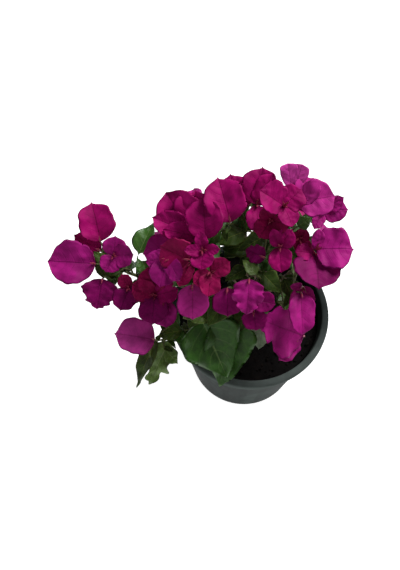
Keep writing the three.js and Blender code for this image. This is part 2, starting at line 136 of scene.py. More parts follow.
def through(knots: Sequence[Vector], steps: int) -> list[Vector]:
    """A smooth line through a few places.

    Args:
        knots: The places, in order.
        steps: How many steps to take between two of them.

    Returns:
        The line's points, knots included.
    """
    padded = [knots[0] * 2 - knots[1], *knots, knots[-1] * 2 - knots[-2]]
    line = [knots[0].copy()]
    for index in range(1, len(padded) - 2):
        before, here, there, after = padded[index - 1:index + 3]
        for step in range(1, steps + 1):
            share = step / steps
            square = share * share
            cube = square * share
            line.append((
                before * (-cube + 2 * square - share)
                + here * (3 * cube - 5 * square + 2)
                + there * (-3 * cube + 4 * square + share)
                + after * (cube - square)
            ) * 0.5)
    return line


# ---------------------------------------------------------------- meshes that are grown


class Heap:
    """Gathers many small closed shapes, in millimetres, for one mesh in metres."""

    def __init__(self) -> None:
        """Starts empty."""
        self.places: list[Vector] = []
        self.faces: list[tuple[int, ...]] = []
        self.sheet: list[tuple[float, float]] = []

    def add(
        self,
        places: Sequence[Vector],
        faces: Sequence[tuple[int, ...]],
        sheet: Sequence[tuple[float, float]],
    ) -> None:
        """Adds one closed shape.

        Args:
            places: Its corners.
            faces: Its faces, counted from its own first corner.
            sheet: A place on the pattern's sheet for each corner.
        """
        first = len(self.places)
        self.places.extend(places)
        self.sheet.extend(sheet)
        self.faces.extend(tuple(first + corner for corner in face) for face in faces)

    def made(self, name: str, finish: bpy.types.Material) -> bpy.types.Object:
        """The heap as a piece with its finish.

        Args:
            name: The piece's name.
            finish: Its material.

        Returns:
            The new object, which sits at the origin.
        """
        mesh = bpy.data.meshes.new(name)
        mesh.from_pydata([place * MM for place in self.places], [], self.faces)
        layer = mesh.uv_layers.new(name="sheet")
        for loop in mesh.loops:
            layer.data[loop.index].uv = self.sheet[loop.vertex_index]
        mesh.polygons.foreach_set("use_smooth", [True] * len(mesh.polygons))
        mesh.materials.append(finish)
        mesh.update()
        piece = bpy.data.objects.new(name, mesh)
        bpy.context.scene.collection.objects.link(piece)
        return piece


def add_tube(
    heap: Heap,
    line: Sequence[Vector],
    radius_at: Callable[[float], float],
    sides: int,
    relief: Callable[[Vector], float] | None = None,
) -> None:
    """Adds a closed round limb along a line.

    Args:
        heap: Where it goes.
        line: The points that it follows.
        radius_at: Its radius at a share of the line.
        sides: How many sides it has.
        relief: How far its skin stands out at a place.
    """
    count = len(line) - 1
    places: list[Vector] = []
    sheet: list[tuple[float, float]] = []
    across = upright_to((line[1] - line[0]).normalized())
    for index, middle in enumerate(line):
        along = (line[min(count, index + 1)] - line[max(0, index - 1)]).normalized()
        across = (across - along * across.dot(along)).normalized()
        aside = along.cross(across)
        share = index / count
        for side in range(sides):
            turn = side / sides * math.tau
            outward = across * math.cos(turn) + aside * math.sin(turn)
            radius = radius_at(share)
            if relief:
                radius += relief(middle + outward * radius)
            places.append(middle + outward * radius)
            sheet.append((side / sides, share))
    faces: list[tuple[int, ...]] = [tuple(reversed(range(sides)))]
    for index in range(count):
        for side in range(sides):
            following = (side + 1) % sides
            near = index * sides
            far = near + sides
            faces.append((near + side, near + following, far + following, far + side))
    faces.append(tuple(range(count * sides, (count + 1) * sides)))
    heap.add(places, faces, sheet)


@dataclass(frozen=True)
class Outline:
    """Half-widths along a blade, as shares of the widest, with a smooth line through them."""

    stations: tuple[tuple[float, float], ...]

    def half(self, share: float) -> float:
        """The half-width at a share of the length."""
        line = self.stations
        last = len(line) - 1
        index = 0
        while index < last - 1 and share > line[index + 1][0]:
            index += 1
        (start, low), (end, high) = line[index], line[index + 1]
        before = line[max(0, index - 1)]
        after = line[min(last, index + 2)]
        slope_in = (high - before[1]) / (end - before[0])
        slope_out = (after[1] - low) / (after[0] - start)
        span = end - start
        step = (share - start) / span
        square = step * step
        cube = square * step
        value = low * (2 * cube - 3 * square + 1) + high * (3 * square - 2 * cube)
        value += span * (slope_in * (cube - 2 * square + step) + slope_out * (cube - square))
        return max(0.0, value)


@dataclass(frozen=True)
class BladeForm:
    """How a thin blade is shaped.

    Curl and fold are degrees. Thickness and how far its root is sunk are millimetres, and so are
    ruffle and crumple on a blade of the usual length. Waves and veins are counts along the blade,
    and wobble is a share of its half-width.
    """

    outline: Outline
    rows: int = 26
    columns: int = 18
    thickness: float = 0.5
    curl: float = 24
    fold: float = 12
    ruffle: float = 1.3
    waves: float = 1.7
    crumple: float = 1.3
    wobble: float = 0.045
    quilting: float = 0.15
    veins: int = 5
    sunk: float = 0


USUAL_LENGTH = 30
BRACT_FOOT = ((0.0, 0.03), (0.04, 0.32), (0.11, 0.62), (0.22, 0.87))
LEAF_FOOT = ((0.0, 0.05), (0.14, 0.05), (0.17, 0.22), (0.23, 0.68), (0.31, 0.94))
BRACT_FORM = BladeForm(Outline((
    *BRACT_FOOT, (0.35, 0.98), (0.5, 1.0), (0.64, 0.95), (0.76, 0.82), (0.84, 0.64),
    (0.89, 0.42), (0.925, 0.22), (0.96, 0.07), (1.0, 0.0),
)))
TORN_FORM = replace(
    BRACT_FORM, rows=44, ruffle=1.8, waves=2.6, crumple=1.5, wobble=0.07, outline=Outline((
        *BRACT_FOOT, (0.34, 0.98), (0.46, 1.0), (0.57, 0.93), (0.65, 0.7), (0.69, 0.64),
        (0.75, 0.72), (0.8, 0.62), (0.85, 0.4), (0.89, 0.38), (0.93, 0.3), (0.97, 0.1), (1.0, 0.0),
    )))
FAN_FORM = replace(
    BRACT_FORM, curl=14, fold=3, ruffle=1.0, crumple=1.0, wobble=0.04, outline=Outline((
        (0.0, 0.05), (0.08, 0.24), (0.2, 0.42), (0.35, 0.62), (0.5, 0.79), (0.65, 0.93),
        (0.78, 1.0), (0.88, 0.95), (0.94, 0.78), (0.98, 0.45), (1.0, 0.0),
    )))
LEAF_FORM = BladeForm(
    Outline((
        *LEAF_FOOT, (0.41, 1.0), (0.54, 0.92), (0.69, 0.68), (0.83, 0.37), (0.93, 0.13), (1.0, 0.0),
    )),
    rows=24, columns=12, thickness=0.6, curl=26, fold=14, ruffle=1.1, waves=1.6, crumple=1.6,
    wobble=0.05, quilting=0.35, sunk=2)
BITTEN_FORM = replace(
    LEAF_FORM, rows=40, ruffle=1.6, waves=2.4, wobble=0.06, outline=Outline((
        *LEAF_FOOT, (0.38, 0.98), (0.45, 0.7), (0.5, 0.62), (0.56, 0.86), (0.62, 0.8),
        (0.68, 0.44), (0.74, 0.4), (0.79, 0.5), (0.84, 0.4), (0.9, 0.16), (0.95, 0.1), (1.0, 0.0),
    )))
SMALL_LEAF_FORM = replace(
    LEAF_FORM, rows=12, columns=6, thickness=0.5, ruffle=0.8, waves=1.4, crumple=1.2, wobble=0.04,
    quilting=0, veins=4)


@dataclass(frozen=True)
class Whims:
    """What sets one blade apart from the others of its form."""

    phases: tuple[float, float]
    waves: float
    ruffle: float
    fold: float
    patch: Vector
    roll: float
    crumple: float

    @classmethod
    def drawn(cls, form: BladeForm, length: float, draw: Draws) -> Whims:
        """One blade's whims.

        Args:
            form: The blade's form.
            length: Its length.
            draw: The row of numbers that they come from, in this order.

        Returns:
            The whims.
        """
        size = length / USUAL_LENGTH
        return cls(
            phases=(draw(0, math.tau), draw(0, math.tau)),
            waves=form.waves * draw(0.8, 1.25),
            ruffle=form.ruffle * draw(0.6, 1.4) * size,
            fold=math.sin(math.radians(form.fold * draw(0.5, 1.7))),
            patch=Vector((draw(0, 90), draw(0, 90), draw(0, 90))),
            roll=draw(-8, 8),
            crumple=form.crumple * size,
        )


@dataclass(frozen=True)
class Blade:
    """One thin blade: where it starts, where it points, which way it faces, and its size."""

    root: Vector
    direction: Vector
    face: Vector
    length: float
    width: float

    @classmethod
    def rolled(
        cls, root: Vector, direction: Vector, roll: float, length: float, width: float
    ) -> Blade:
        """A blade that faces up, but for a roll about its own line.

        Args:
            root: Where it starts.
            direction: The unit vector that it points along.
            roll: How far it is rolled, in degrees.
            length: Its length.
            width: Its width.

        Returns:
            The blade.
        """
        return cls(root, direction, turned(upright_to(direction), direction, roll), length, width)

    def rise(
        self, form: BladeForm, whims: Whims, share: float, spread: float, half: float
    ) -> tuple[float, float]:
        """How the blade leaves its flat outline at one place.

        Args:
            form: Its form.
            whims: Its own whims.
            share: The place along it, from root to tip.
            spread: The place across it, from -1 to 1.
            half: Its half-width there.

        Returns:
            How far it stands up there, and the half-width that its wavy margin gives it.
        """
        side = abs(spread)
        ease = smooth(0, 0.25, share)
        swing = whims.waves * math.tau * share + whims.phases[0 if spread < 0 else 1]
        spot = Vector((share * 2.6, spread * half / self.length * 4.2, 0)) + whims.patch
        slant = form.veins * (share - 0.22 * side) * math.tau
        folded = half * whims.fold * side ** 1.2
        ruffled = whims.ruffle * side ** 2 * math.sin(swing) * ease
        creased = abs(noise.noise(spot)) - 0.2 + 0.35 * noise.noise(spot * 3.1)
        quilted = form.quilting * math.sin(slant) * side * (1 - side) * 4
        ragged = math.sin(swing * 0.8 + 1) + 0.5 * math.sin(swing * 2.3)
        lift = folded + ruffled + whims.crumple * creased * ease + quilted
        return lift, half * (1 + form.wobble * ragged)

    def grow(self, heap: Heap, form: BladeForm, draw: Draws) -> None:
        """Adds the blade to a heap.

        Args:
            heap: Where it goes.
            form: How it is shaped.
            draw: The row of numbers that its whims come from.
        """
        along = self.direction.normalized()
        outward = (self.face - along * self.face.dot(along)).normalized()
        aside = along.cross(outward)
        whims = Whims.drawn(form, self.length, draw)
        stride = (self.length + form.sunk) / form.rows
        place = self.root - along * form.sunk
        places: list[Vector] = []
        sheet: list[tuple[float, float]] = []
        top: list[list[int]] = []
        under: list[list[int]] = []
        for row in range(form.rows + 1):
            share = row / form.rows
            bend = -form.curl * share ** 1.5
            step = turned(along, aside, bend)
            if row:
                place = place + step * stride
            if row in (0, form.rows):
                top.append([len(places)] * (form.columns + 1))
                under.append(top[-1])
                places.append(place)
                sheet.append((0.5, share))
                continue
            normal = turned(turned(outward, aside, bend), step, whims.roll * share)
            across = step.cross(normal)
            half = self.width / 2 * form.outline.half(share)
            top.append([])
            under.append([])
            for column in range(form.columns + 1):
                spread = 2 * column / form.columns - 1
                lift, reach = self.rise(form, whims, share, spread, half)
                middle = place + across * (spread * reach) + normal * lift
                skin = form.thickness / 2 * (1 - spread ** 4)
                top[-1].append(len(places))
                places.append(middle + normal * skin)
                sheet.append((column / form.columns, share))
                if 0 < column < form.columns:
                    places.append(middle - normal * skin)
                    sheet.append(sheet[-1])
                under[-1].append(len(places) - 1)
        heap.add(places, [*self.skin(top), *(face[::-1] for face in self.skin(under))], sheet)

    @staticmethod
    def skin(rows: list[list[int]]) -> list[tuple[int, ...]]:
        """The faces between rows of corners, where corners that are one count once."""
        faces = []
        for near, far in zip(rows, rows[1:]):
            for column in range(len(near) - 1):
                corners = (near[column], near[column + 1], far[column + 1], far[column])
                face = tuple(dict.fromkeys(corners))
                if len(face) > 2:
                    faces.append(face)
        return faces


# ---------------------------------------------------------------- the plant, as it grows


@dataclass(frozen=True)
class Habit:
    """The angle that bracts open to from their blossom's axis, and their width by their length."""

    open: float
    breadth: float


class Hold(Enum):
    """How a blossom holds a bract."""

    FLAT = Habit(70, 0.88)
    ROUND = Habit(68, 1.0)
    BROAD = Habit(68, 1.14)
    CUP = Habit(56, 1.04)
    FOLDED = Habit(60, 0.6)


class Hue(Enum):
    """The colour of a blossom's bracts: a hue, or a lighter or darker copy of one.

    PURPLE, ROSE and DEEP differ in hue. PALE and BRIGHT are lighter copies, painted light for
    bracts in the light, and DUSKY is a darker copy, painted shade for bracts in the shade.
    """

    # PALE and BRIGHT: lighter copies, painted light.
    PALE = "pale"
    BRIGHT = "bright"
    PURPLE = "purple"
    ROSE = "rose"
    DEEP = "deep"
    # DUSKY: a darker copy, painted shade.
    DUSKY = "dusky"


class Green(Enum):
    """How young a leaf is, or that it shows its underside, which sets its green.

    The dark green is also a darker copy, painted shade for leaves inside the bush.
    """

    PALE = "pale"
    FRESH = "fresh"
    PLAIN = "plain"
    # The dark green is partly painted shade, given to leaves inside the bush.
    DARK = "dark"


@dataclass(frozen=True)
class Bract:
    """A bract: its turn about its blossom's axis, its length, how it is held, its hue and form.

    With no hue it has its blossom's, and with no form it is whole.
    """

    turn: float
    length: float
    hold: Hold = Hold.FLAT
    hue: Hue | None = None
    form: BladeForm | None = None


@dataclass(frozen=True)
class Blossom:
    """A blossom: where its bracts meet, where it faces, its bracts and their hue."""

    at: tuple[float, float, float]
    faces: tuple[float, float]
    bracts: tuple[Bract, ...]
    hue: Hue | None = None


@dataclass(frozen=True)
class Leaf:
    """A leaf: where its stalk starts, where it points, its roll, length, width and green.

    form is the shape of its blade, or none for a whole leaf.
    """

    at: tuple[float, float, float]
    faces: tuple[float, float]
    roll: float
    length: float
    width: float
    green: Green = Green.PLAIN
    form: BladeForm | None = None


@dataclass(frozen=True)
class Spray:
    """One bough and the mass of foliage that it carries.

    leaves is where the bough leaves the trunk, as a share of the trunk's length. The bough runs to
    its tip and arches up on the way. The stem runs on to the hub. Small leaves stay within a space
    round the hub.
    """

    leaves: float
    tip: tuple[float, float, float]
    arch: float
    hub: tuple[float, float, float]
    space: float
    small: int
    shoots: tuple[Blossom | Leaf, ...]
    hue: Hue = Hue.PURPLE
    green: Green = Green.PLAIN


def trio(turn: float, length: float, hold: Hold = Hold.FLAT) -> tuple[Bract, ...]:
    """The three even bracts of a whole blossom."""
    return tuple(Bract(turn + step, length, hold) for step in (0, 120, 240))


SPRAYS: dict[str, Spray] = {
    "far_left": Spray(
        leaves=0.26, tip=(-96, 12, 172), arch=16, hub=(-125, 19, 186), space=26, small=4,
        shoots=(
            Leaf((-115, 14, 186), (190, 5), -10, 24, 14, Green.DARK),
            Leaf((-119, 11, 184), (235, -10), 10, 18, 12),
            Blossom((-121, 17, 204), (280, 55), (
                Bract(345, 18, Hold.BROAD), Bract(265, 18, Hold.BROAD),
                Bract(145, 16, Hold.BROAD))),
            Blossom((-131, 1, 192), (275, 50), (
                Bract(165, 27, Hold.BROAD, None, TORN_FORM),), Hue.DUSKY),
            Leaf((-131, 18, 190), (135, 20), 0, 14, 10, Green.DARK),
            Blossom((-134, 34, 198), (290, 75), (Bract(355, 36),), Hue.ROSE),
            Blossom((-135, 31, 186), (250, 65), (Bract(75, 28, Hold.FOLDED),), Hue.ROSE),
            Blossom((-137, 13, 196), (250, 65), (Bract(105, 42),)),
        ),
    ),
    "left": Spray(
        leaves=0.38, tip=(-70, -6, 178), arch=14, hub=(-92, -8, 187), space=28, small=8,
        shoots=(
            Blossom((-85, -18, 198), (260, 60), (
                Bract(185, 25, Hold.ROUND, Hue.DUSKY), Bract(70, 22),
                Bract(295, 22, Hold.FLAT, Hue.ROSE), Bract(20, 26)), Hue.DEEP),
            Blossom((-78, -21, 196), (270, 50), (Bract(185, 24),)),
            Leaf((-98, 6, 188), (100, 30), 20, 17, 9),
            Leaf((-102, 23, 190), (65, 25), 0, 35, 20),
            Leaf((-91, 11, 186), (150, 20), -10, 16, 13, Green.DARK),
            Blossom((-108, -8, 192), (265, 60), (
                Bract(165, 21, Hold.ROUND), Bract(235, 16, Hold.ROUND),
                Bract(30, 14, Hold.FLAT, Hue.DEEP)), Hue.DUSKY),
            Leaf((-108, -1, 186), (160, 15), -10, 14, 12, Green.DARK),
        ),
    ),
    "left_centre": Spray(
        leaves=0.6, tip=(-44, -8, 198), arch=-4, hub=(-52, -7, 222), space=28, small=6,
        shoots=(
            Blossom((-53, -22, 228), (270, 50), (Bract(180, 29),), Hue.BRIGHT),
            Blossom((-55, -3, 230), (260, 60), (Bract(165, 23, Hold.FOLDED),), Hue.DEEP),
            Blossom((-57, 9, 226), (235, 65), (Bract(125, 38),)),
            Blossom((-55, -5, 238), (240, 50), (Bract(85, 27, Hold.CUP),), Hue.DEEP),
            Blossom((-73, -3, 238), (255, 60), (
                Bract(180, 25), Bract(115, 18), Bract(225, 24, Hold.FOLDED))),
            Blossom((-39, -17, 240), (280, 60), (
                Bract(290, 18), Bract(115, 17), Bract(165, 20)), Hue.DEEP),
            Blossom((-45, -3, 250), (270, 60), (
                Bract(175, 16, Hold.BROAD), Bract(10, 17, Hold.FOLDED), Bract(275, 15, Hold.FOLDED),
                Bract(90, 16, Hold.FOLDED)), Hue.ROSE),
        ),
    ),
    "upper_left": Spray(
        leaves=0.64, tip=(-34, 20, 204), arch=-10, hub=(-42, 20, 230), space=28, small=8,
        hue=Hue.ROSE,
        shoots=(
            Blossom((-52, 18, 236), (240, 70), (
                Bract(95, 38, Hold.FOLDED), Bract(60, 43), Bract(25, 38))),
            Blossom((-48, 15, 240), (240, 60), (Bract(105, 30, Hold.FOLDED),)),
            Blossom((-43, 9, 246), (255, 70), (Bract(15, 34),)),
            Blossom((-23, 21, 252), (260, 75), (Bract(25, 38),)),
        ),
    ),
    "back": Spray(
        leaves=0.68, tip=(-8, 38, 204), arch=-12, hub=(-8, 44, 228), space=28, small=8,
        hue=Hue.ROSE,
        shoots=(
            Leaf((-8, 31, 218), (80, 40), 15, 18, 12, Green.DARK),
            Blossom((-16, 40, 238), (255, 70), (Bract(10, 26), Bract(25, 32))),
            Blossom((-1, 41, 246), (260, 70), (
                Bract(0, 32), Bract(340, 30, Hold.FOLDED), Bract(190, 29, Hold.FOLDED))),
        ),
    ),
    "upper_right": Spray(
        leaves=0.54, tip=(20, 28, 212), arch=-10, hub=(27, 33, 238), space=28, small=8,
        hue=Hue.BRIGHT,
        shoots=(
            Leaf((32, 24, 240), (30, 25), 15, 14, 12),
            Blossom((53, 40, 238), (275, 60), (
                Bract(270, 22), Bract(300, 22, Hold.FOLDED),
                Bract(150, 18, Hold.FOLDED)), Hue.PURPLE),
            Blossom((32, 38, 254), (285, 70), (Bract(265, 30, Hold.ROUND), Bract(315, 24))),
            Blossom((27, 45, 256), (260, 75), (
                Bract(20, 25, Hold.FOLDED, None, FAN_FORM),
                Bract(350, 25, Hold.FOLDED, None, FAN_FORM)), Hue.PALE),
            Blossom((18, 28, 265), (300, 70), (
                Bract(35, 24, Hold.BROAD), Bract(285, 20, Hold.BROAD), Bract(170, 19)), Hue.ROSE),
        ),
    ),
    "centre": Spray(
        leaves=1, tip=(2, 6, 194), arch=0, hub=(5, 8, 220), space=28, small=5, hue=Hue.ROSE,
        shoots=(
            Leaf((-8, -2, 218), (210, 0), -5, 22, 12, Green.DARK),
            Leaf((3, -7, 220), (315, -10), 15, 24, 17, Green.DARK),
            Leaf((-1, -11, 222), (130, 20), 5, 18, 12, Green.FRESH),
            Leaf((-4, 19, 216), (185, 5), -10, 25, 20, Green.DARK),
            Leaf((5, 24, 214), (225, -5), 5, 28, 18, Green.DARK),
            Leaf((-5, 26, 212), (205, -10), 0, 27, 18, Green.DARK),
            Leaf((-8, 31, 222), (205, 5), -10, 30, 20, Green.DARK),
            Leaf((7, 22, 228), (205, -5), -5, 26, 15, Green.DARK),
            Blossom((6, 2, 228), (215, 60), (
                Bract(115, 18, Hold.FLAT, None, TORN_FORM),), Hue.DUSKY),
            Blossom((16, 5, 241), (265, 55), (
                Bract(190, 21), Bract(330, 18), Bract(25, 18, Hold.FOLDED))),
            Blossom((9, 24, 250), (260, 55), (
                Bract(155, 18, Hold.CUP), Bract(270, 18, Hold.CUP),
                Bract(30, 14, Hold.CUP)), Hue.DEEP),
        ),
    ),
    "right": Spray(
        leaves=0.38, tip=(32, 8, 192), arch=-4, hub=(41, 9, 214), space=28, small=6,
        shoots=(
            Leaf((30, -9, 216), (85, 30), 45, 20, 9, Green.FRESH),
            Blossom((47, 7, 226), (290, 80), (
                Bract(160, 34, Hold.BROAD, Hue.DUSKY), Bract(70, 18, Hold.FLAT, Hue.ROSE))),
            Blossom((47, 8, 231), (300, 75), (
                Bract(240, 31, Hold.BROAD), Bract(325, 18, Hold.FOLDED))),
            Blossom((35, 19, 230), (260, 45), (
                Bract(210, 14, Hold.CUP), Bract(340, 12, Hold.CUP),
                Bract(90, 12, Hold.CUP)), Hue.DEEP),
        ),
    ),
    "front": Spray(
        leaves=0.44, tip=(-8, -16, 180), arch=-6, hub=(-10, -21, 204), space=28, small=8,
        shoots=(
            Leaf((-23, -16, 194), (235, -5), 0, 32, 22, Green.DARK),
            Leaf((-3, -18, 186), (245, -15), 0, 29, 22, Green.DARK),
            Blossom((-3, -34, 206), (260, 50), (Bract(195, 18, Hold.BROAD),), Hue.DUSKY),
            Blossom((-25, -21, 220), (260, 50), (Bract(190, 24, Hold.ROUND),), Hue.DUSKY),
            Blossom((-5, -29, 216), (290, 55), (Bract(240, 20),), Hue.DUSKY),
            Blossom((-8, -19, 232), (265, 55), (Bract(180, 29, Hold.FLAT, None, TORN_FORM),)),
        ),
    ),
    "front_right": Spray(
        leaves=0.18, tip=(16, -8, 160), arch=4, hub=(27, -18, 186), space=26, small=6,
        shoots=(
            Leaf((10, -24, 160), (255, -25), 10, 28, 22, Green.PALE),
            Blossom((35, -50, 182), (285, 60), (Bract(120, 27, Hold.FOLDED),)),
            Blossom((40, -49, 184), (285, 60), (Bract(55, 44, Hold.ROUND, None, TORN_FORM),)),
            Leaf((23, -4, 204), (290, -5), 15, 21, 12, Green.DARK),
            Blossom((34, -25, 220), (275, 55), (Bract(175, 36, Hold.FOLDED),)),
            Blossom((38, -14, 208), (270, 50), (
                Bract(210, 18, Hold.FOLDED), Bract(85, 12, Hold.FOLDED),
                Bract(155, 23, Hold.FOLDED)), Hue.BRIGHT),
        ),
    ),
    "lower_left": Spray(
        leaves=0.13, tip=(-50, -26, 150), arch=12, hub=(-70, -38, 158), space=24, small=5,
        shoots=(
            Leaf((-61, -36, 165), (185, -10), 0, 26, 17, Green.DARK),
            Leaf((-72, -36, 156), (240, -35), -15, 58, 27, Green.FRESH, BITTEN_FORM),
            Leaf((-81, -36, 160), (235, -35), 5, 64, 16, Green.DARK),
            Leaf((-78, -49, 150), (320, -25), 5, 18, 14, Green.FRESH),
            Blossom((-86, -46, 168), (300, 80), (Bract(55, 36),), Hue.PALE),
        ),
    ),
    "low_front": Spray(
        leaves=0.24, tip=(-18, -14, 150), arch=4, hub=(-30, -20, 166), space=24, small=6,
        shoots=(
            Leaf((-42, -16, 184), (235, -15), 0, 29, 20, Green.DARK),
            Leaf((-17, -17, 172), (260, -25), -10, 75, 44),
            Leaf((-49, -22, 176), (295, -20), 10, 66, 52),
            Leaf((-57, -33, 182), (355, 5), -20, 20, 10, Green.FRESH),
        ),
    ),
    "back_left": Spray(
        leaves=0.33, tip=(-34, 36, 164), arch=8, hub=(-50, 52, 184), space=40, small=10,
        shoots=(
            Leaf((-30, 56, 168), (90, -15), -10, 38, 24),
            Leaf((-52, 60, 172), (125, -5), 10, 36, 22),
            Leaf((-66, 40, 170), (165, -10), 5, 34, 20),
            Blossom((-76, 46, 182), (150, 40), trio(40, 24)),
            Blossom((-34, 74, 192), (95, 35), trio(70, 27), Hue.ROSE),
            Blossom((-58, 62, 204), (120, 60), trio(20, 28), Hue.BRIGHT),
        ),
    ),
    "back_right": Spray(
        leaves=0.3, tip=(20, 36, 164), arch=8, hub=(34, 52, 186), space=40, small=10,
        shoots=(
            Leaf((12, 60, 170), (100, -15), 10, 38, 24),
            Leaf((36, 58, 172), (60, -10), -5, 36, 22),
            Leaf((54, 34, 172), (10, -15), 5, 34, 20),
            Blossom((62, 36, 190), (20, 35), trio(30, 25)),
            Blossom((10, 72, 196), (95, 35), trio(50, 27), Hue.BRIGHT),
            Blossom((42, 60, 206), (70, 55), trio(10, 28), Hue.ROSE),
        ),
    ),
}


# ---------------------------------------------------------------- shader maths


class Wire:
    """A shader socket that adds Math nodes when it is worked on."""

    def __init__(self, tree: bpy.types.NodeTree, socket: bpy.types.NodeSocket) -> None:
        """Wraps a socket of a node tree."""
        self.tree = tree
        self.socket = socket

    def _math(self, operation: str, *values: Wire | float) -> Wire:
        """One Math node.

        Args:
            operation: What it does.
            values: Its inputs, in order.

        Returns:
            Its result.
        """
        node = self.tree.nodes.new("ShaderNodeMath")
        node.operation = operation
        for index, value in enumerate(values):
            if isinstance(value, Wire):
                self.tree.links.new(value.socket, node.inputs[index])
            else:
                node.inputs[index].default_value = value
        return Wire(self.tree, node.outputs[0])

    def __add__(self, other: Wire | float) -> Wire:
        """The sum."""
        return self._math("ADD", self, other)

    __radd__ = __add__

    def __sub__(self, other: Wire | float) -> Wire:
        """The difference."""
        return self._math("SUBTRACT", self, other)

    def __rsub__(self, other: float) -> Wire:
        """The difference from a number."""
        return self._math("SUBTRACT", other, self)

    def __mul__(self, other: Wire | float) -> Wire:
        """The product."""
        return self._math("MULTIPLY", self, other)

    __rmul__ = __mul__

    def __abs__(self) -> Wire:
        """The size without its sign."""
        return self._math("ABSOLUTE", self)

    def fraction(self) -> Wire:
        """What is left past the whole number."""
        return self._math("FRACT", self)

    def power(self, other: float) -> Wire:
        """The power."""
        return self._math("POWER", self, other)

    def sine(self) -> Wire:
        """The sine."""
        return self._math("SINE", self)

    def turn_of(self, other: Wire) -> Wire:
        """The angle whose rise is this and whose run is the other."""
        return self._math("ARCTAN2", self, other)

    def between(self, low: float, high: float) -> Wire:
        """0 at low and 1 at high, with an even S between them.

        Args:
            low: Where it starts.
            high: Where it ends. It may be below low.

        Returns:
            The eased share.
        """
        node = self.tree.nodes.new("ShaderNodeMapRange")
        node.interpolation_type = "SMOOTHSTEP"
        node.inputs["From Min"].default_value = min(low, high)
        node.inputs["From Max"].default_value = max(low, high)
        node.inputs["To Min"].default_value = 0.0 if low < high else 1.0
        node.inputs["To Max"].default_value = 1.0 if low < high else 0.0
        self.tree.links.new(self.socket, node.inputs["Value"])
        return Wire(self.tree, node.outputs["Result"])


Colour = tuple[float, float, float]


class Paint:
    """Builds one material: a Principled shader and the nodes that feed it."""

    def __init__(self, name: str, roughness: float, gloss: float = 0.5) -> None:
        """Starts a material.

        Args:
            name: The material's name.
            roughness: How rough it is where nothing feeds that.
            gloss: How much of the light its skin throws straight back.
        """
        self.material = bpy.data.materials.new(name)
        self.material.use_nodes = True
        self.tree = self.material.node_tree
        self.shader = self.tree.nodes["Principled BSDF"]
        self.shader.inputs["Roughness"].default_value = roughness
        self.shader.inputs["Specular IOR Level"].default_value = gloss

    def node(
        self, kind: str, settings: dict[str, object], inputs: dict[str, object]
    ) -> bpy.types.Node:
        """One node of any kind.

        Args:
            kind: Its type, without the ShaderNode at its start.
            settings: What is set before its sockets are.
            inputs: The values or links of its sockets, by name.

        Returns:
            The node.
        """
        made = self.tree.nodes.new("ShaderNode" + kind)
        for key, value in settings.items():
            setattr(made, key, value)
        for key, value in inputs.items():
            if isinstance(value, Wire):
                self.tree.links.new(value.socket, made.inputs[key])
            elif isinstance(value, bpy.types.NodeSocket):
                self.tree.links.new(value, made.inputs[key])
            else:
                made.inputs[key].default_value = value
        return made

    def places(self) -> bpy.types.NodeSocket:
        """The place on the object."""
        return self.node("TexCoord", {}, {}).outputs["Object"]

    def split(self, vector: bpy.types.NodeSocket) -> tuple[Wire, Wire, Wire]:
        """The three numbers of a vector."""
        parts = self.node("SeparateXYZ", {}, {"Vector": vector})
        return tuple(Wire(self.tree, output) for output in parts.outputs)

    def sheet(self) -> tuple[Wire, Wire]:
        """The two numbers of the piece's own pattern sheet."""
        across, along, _ = self.split(self.node("UVMap", {"uv_map": "sheet"}, {}).outputs["UV"])
        return across, along

    def stretched(self, scale: tuple[float, float, float]) -> bpy.types.NodeSocket:
        """The place on the object, stretched by a scale."""
        made = self.node("Mapping", {}, {"Vector": self.places(), "Scale": scale})
        return made.outputs["Vector"]

    def cloud(
        self, scale: float, detail: float, where: bpy.types.NodeSocket | None = None
    ) -> Wire:
        """Soft noise between 0 and 1.

        Args:
            scale: How many times it changes in a metre.
            detail: How many finer layers it has.
            where: The places that it reads, or the object's own.

        Returns:
            The noise.
        """
        made = self.node("TexNoise", {}, {
            "Vector": where or self.places(), "Scale": scale, "Detail": detail, "Roughness": 0.6,
        })
        return Wire(self.tree, made.outputs["Fac"])

    def mixed(
        self,
        share: Wire | float,
        first: Colour | bpy.types.NodeSocket,
        second: Colour | bpy.types.NodeSocket,
    ) -> bpy.types.NodeSocket:
        """Two colours mixed.

        Args:
            share: How much there is of the second.
            first: The first colour or link.
            second: The second colour or link.

        Returns:
            The mixed colour's socket.
        """
        made = self.node("Mix", {"data_type": "RGBA"}, {"Factor": share})
        for socket, value in ((made.inputs[6], first), (made.inputs[7], second)):
            if isinstance(value, bpy.types.NodeSocket):
                self.tree.links.new(value, socket)
            else:
                socket.default_value = (*value, 1.0)
        return made.outputs[2]

    def bump(self, height: Wire, strength: float, depth: float) -> None:
        """Raises the skin.

        Args:
            height: Its height, between 0 and 1.
            strength: How strong the relief looks.
            depth: How deep it is, in metres.
        """
        made = self.node("Bump", {}, {"Height": height, "Strength": strength, "Distance": depth})
        self.tree.links.new(made.outputs["Normal"], self.shader.inputs["Normal"])

    def feed(self, socket: str, value: Wire | bpy.types.NodeSocket) -> None:
        """Links something that varies to the shader."""
        link = value.socket if isinstance(value, Wire) else value
        self.tree.links.new(link, self.shader.inputs[socket])


def linear(code: str) -> Colour:
    """The linear colour of a six-figure code."""
    shares = [int(code[index:index + 2], 16) / 255 for index in (1, 3, 5)]
    return tuple(
        share / 12.92 if share <= 0.04045 else ((share + 0.055) / 1.055) ** 2.4 for share in shares
    )


def shaded(colour: Colour, share: float) -> Colour:
    """A colour made lighter or darker by a share."""
    return tuple(min(1.0, part * share) for part in colour)


# ---------------------------------------------------------------- finishes


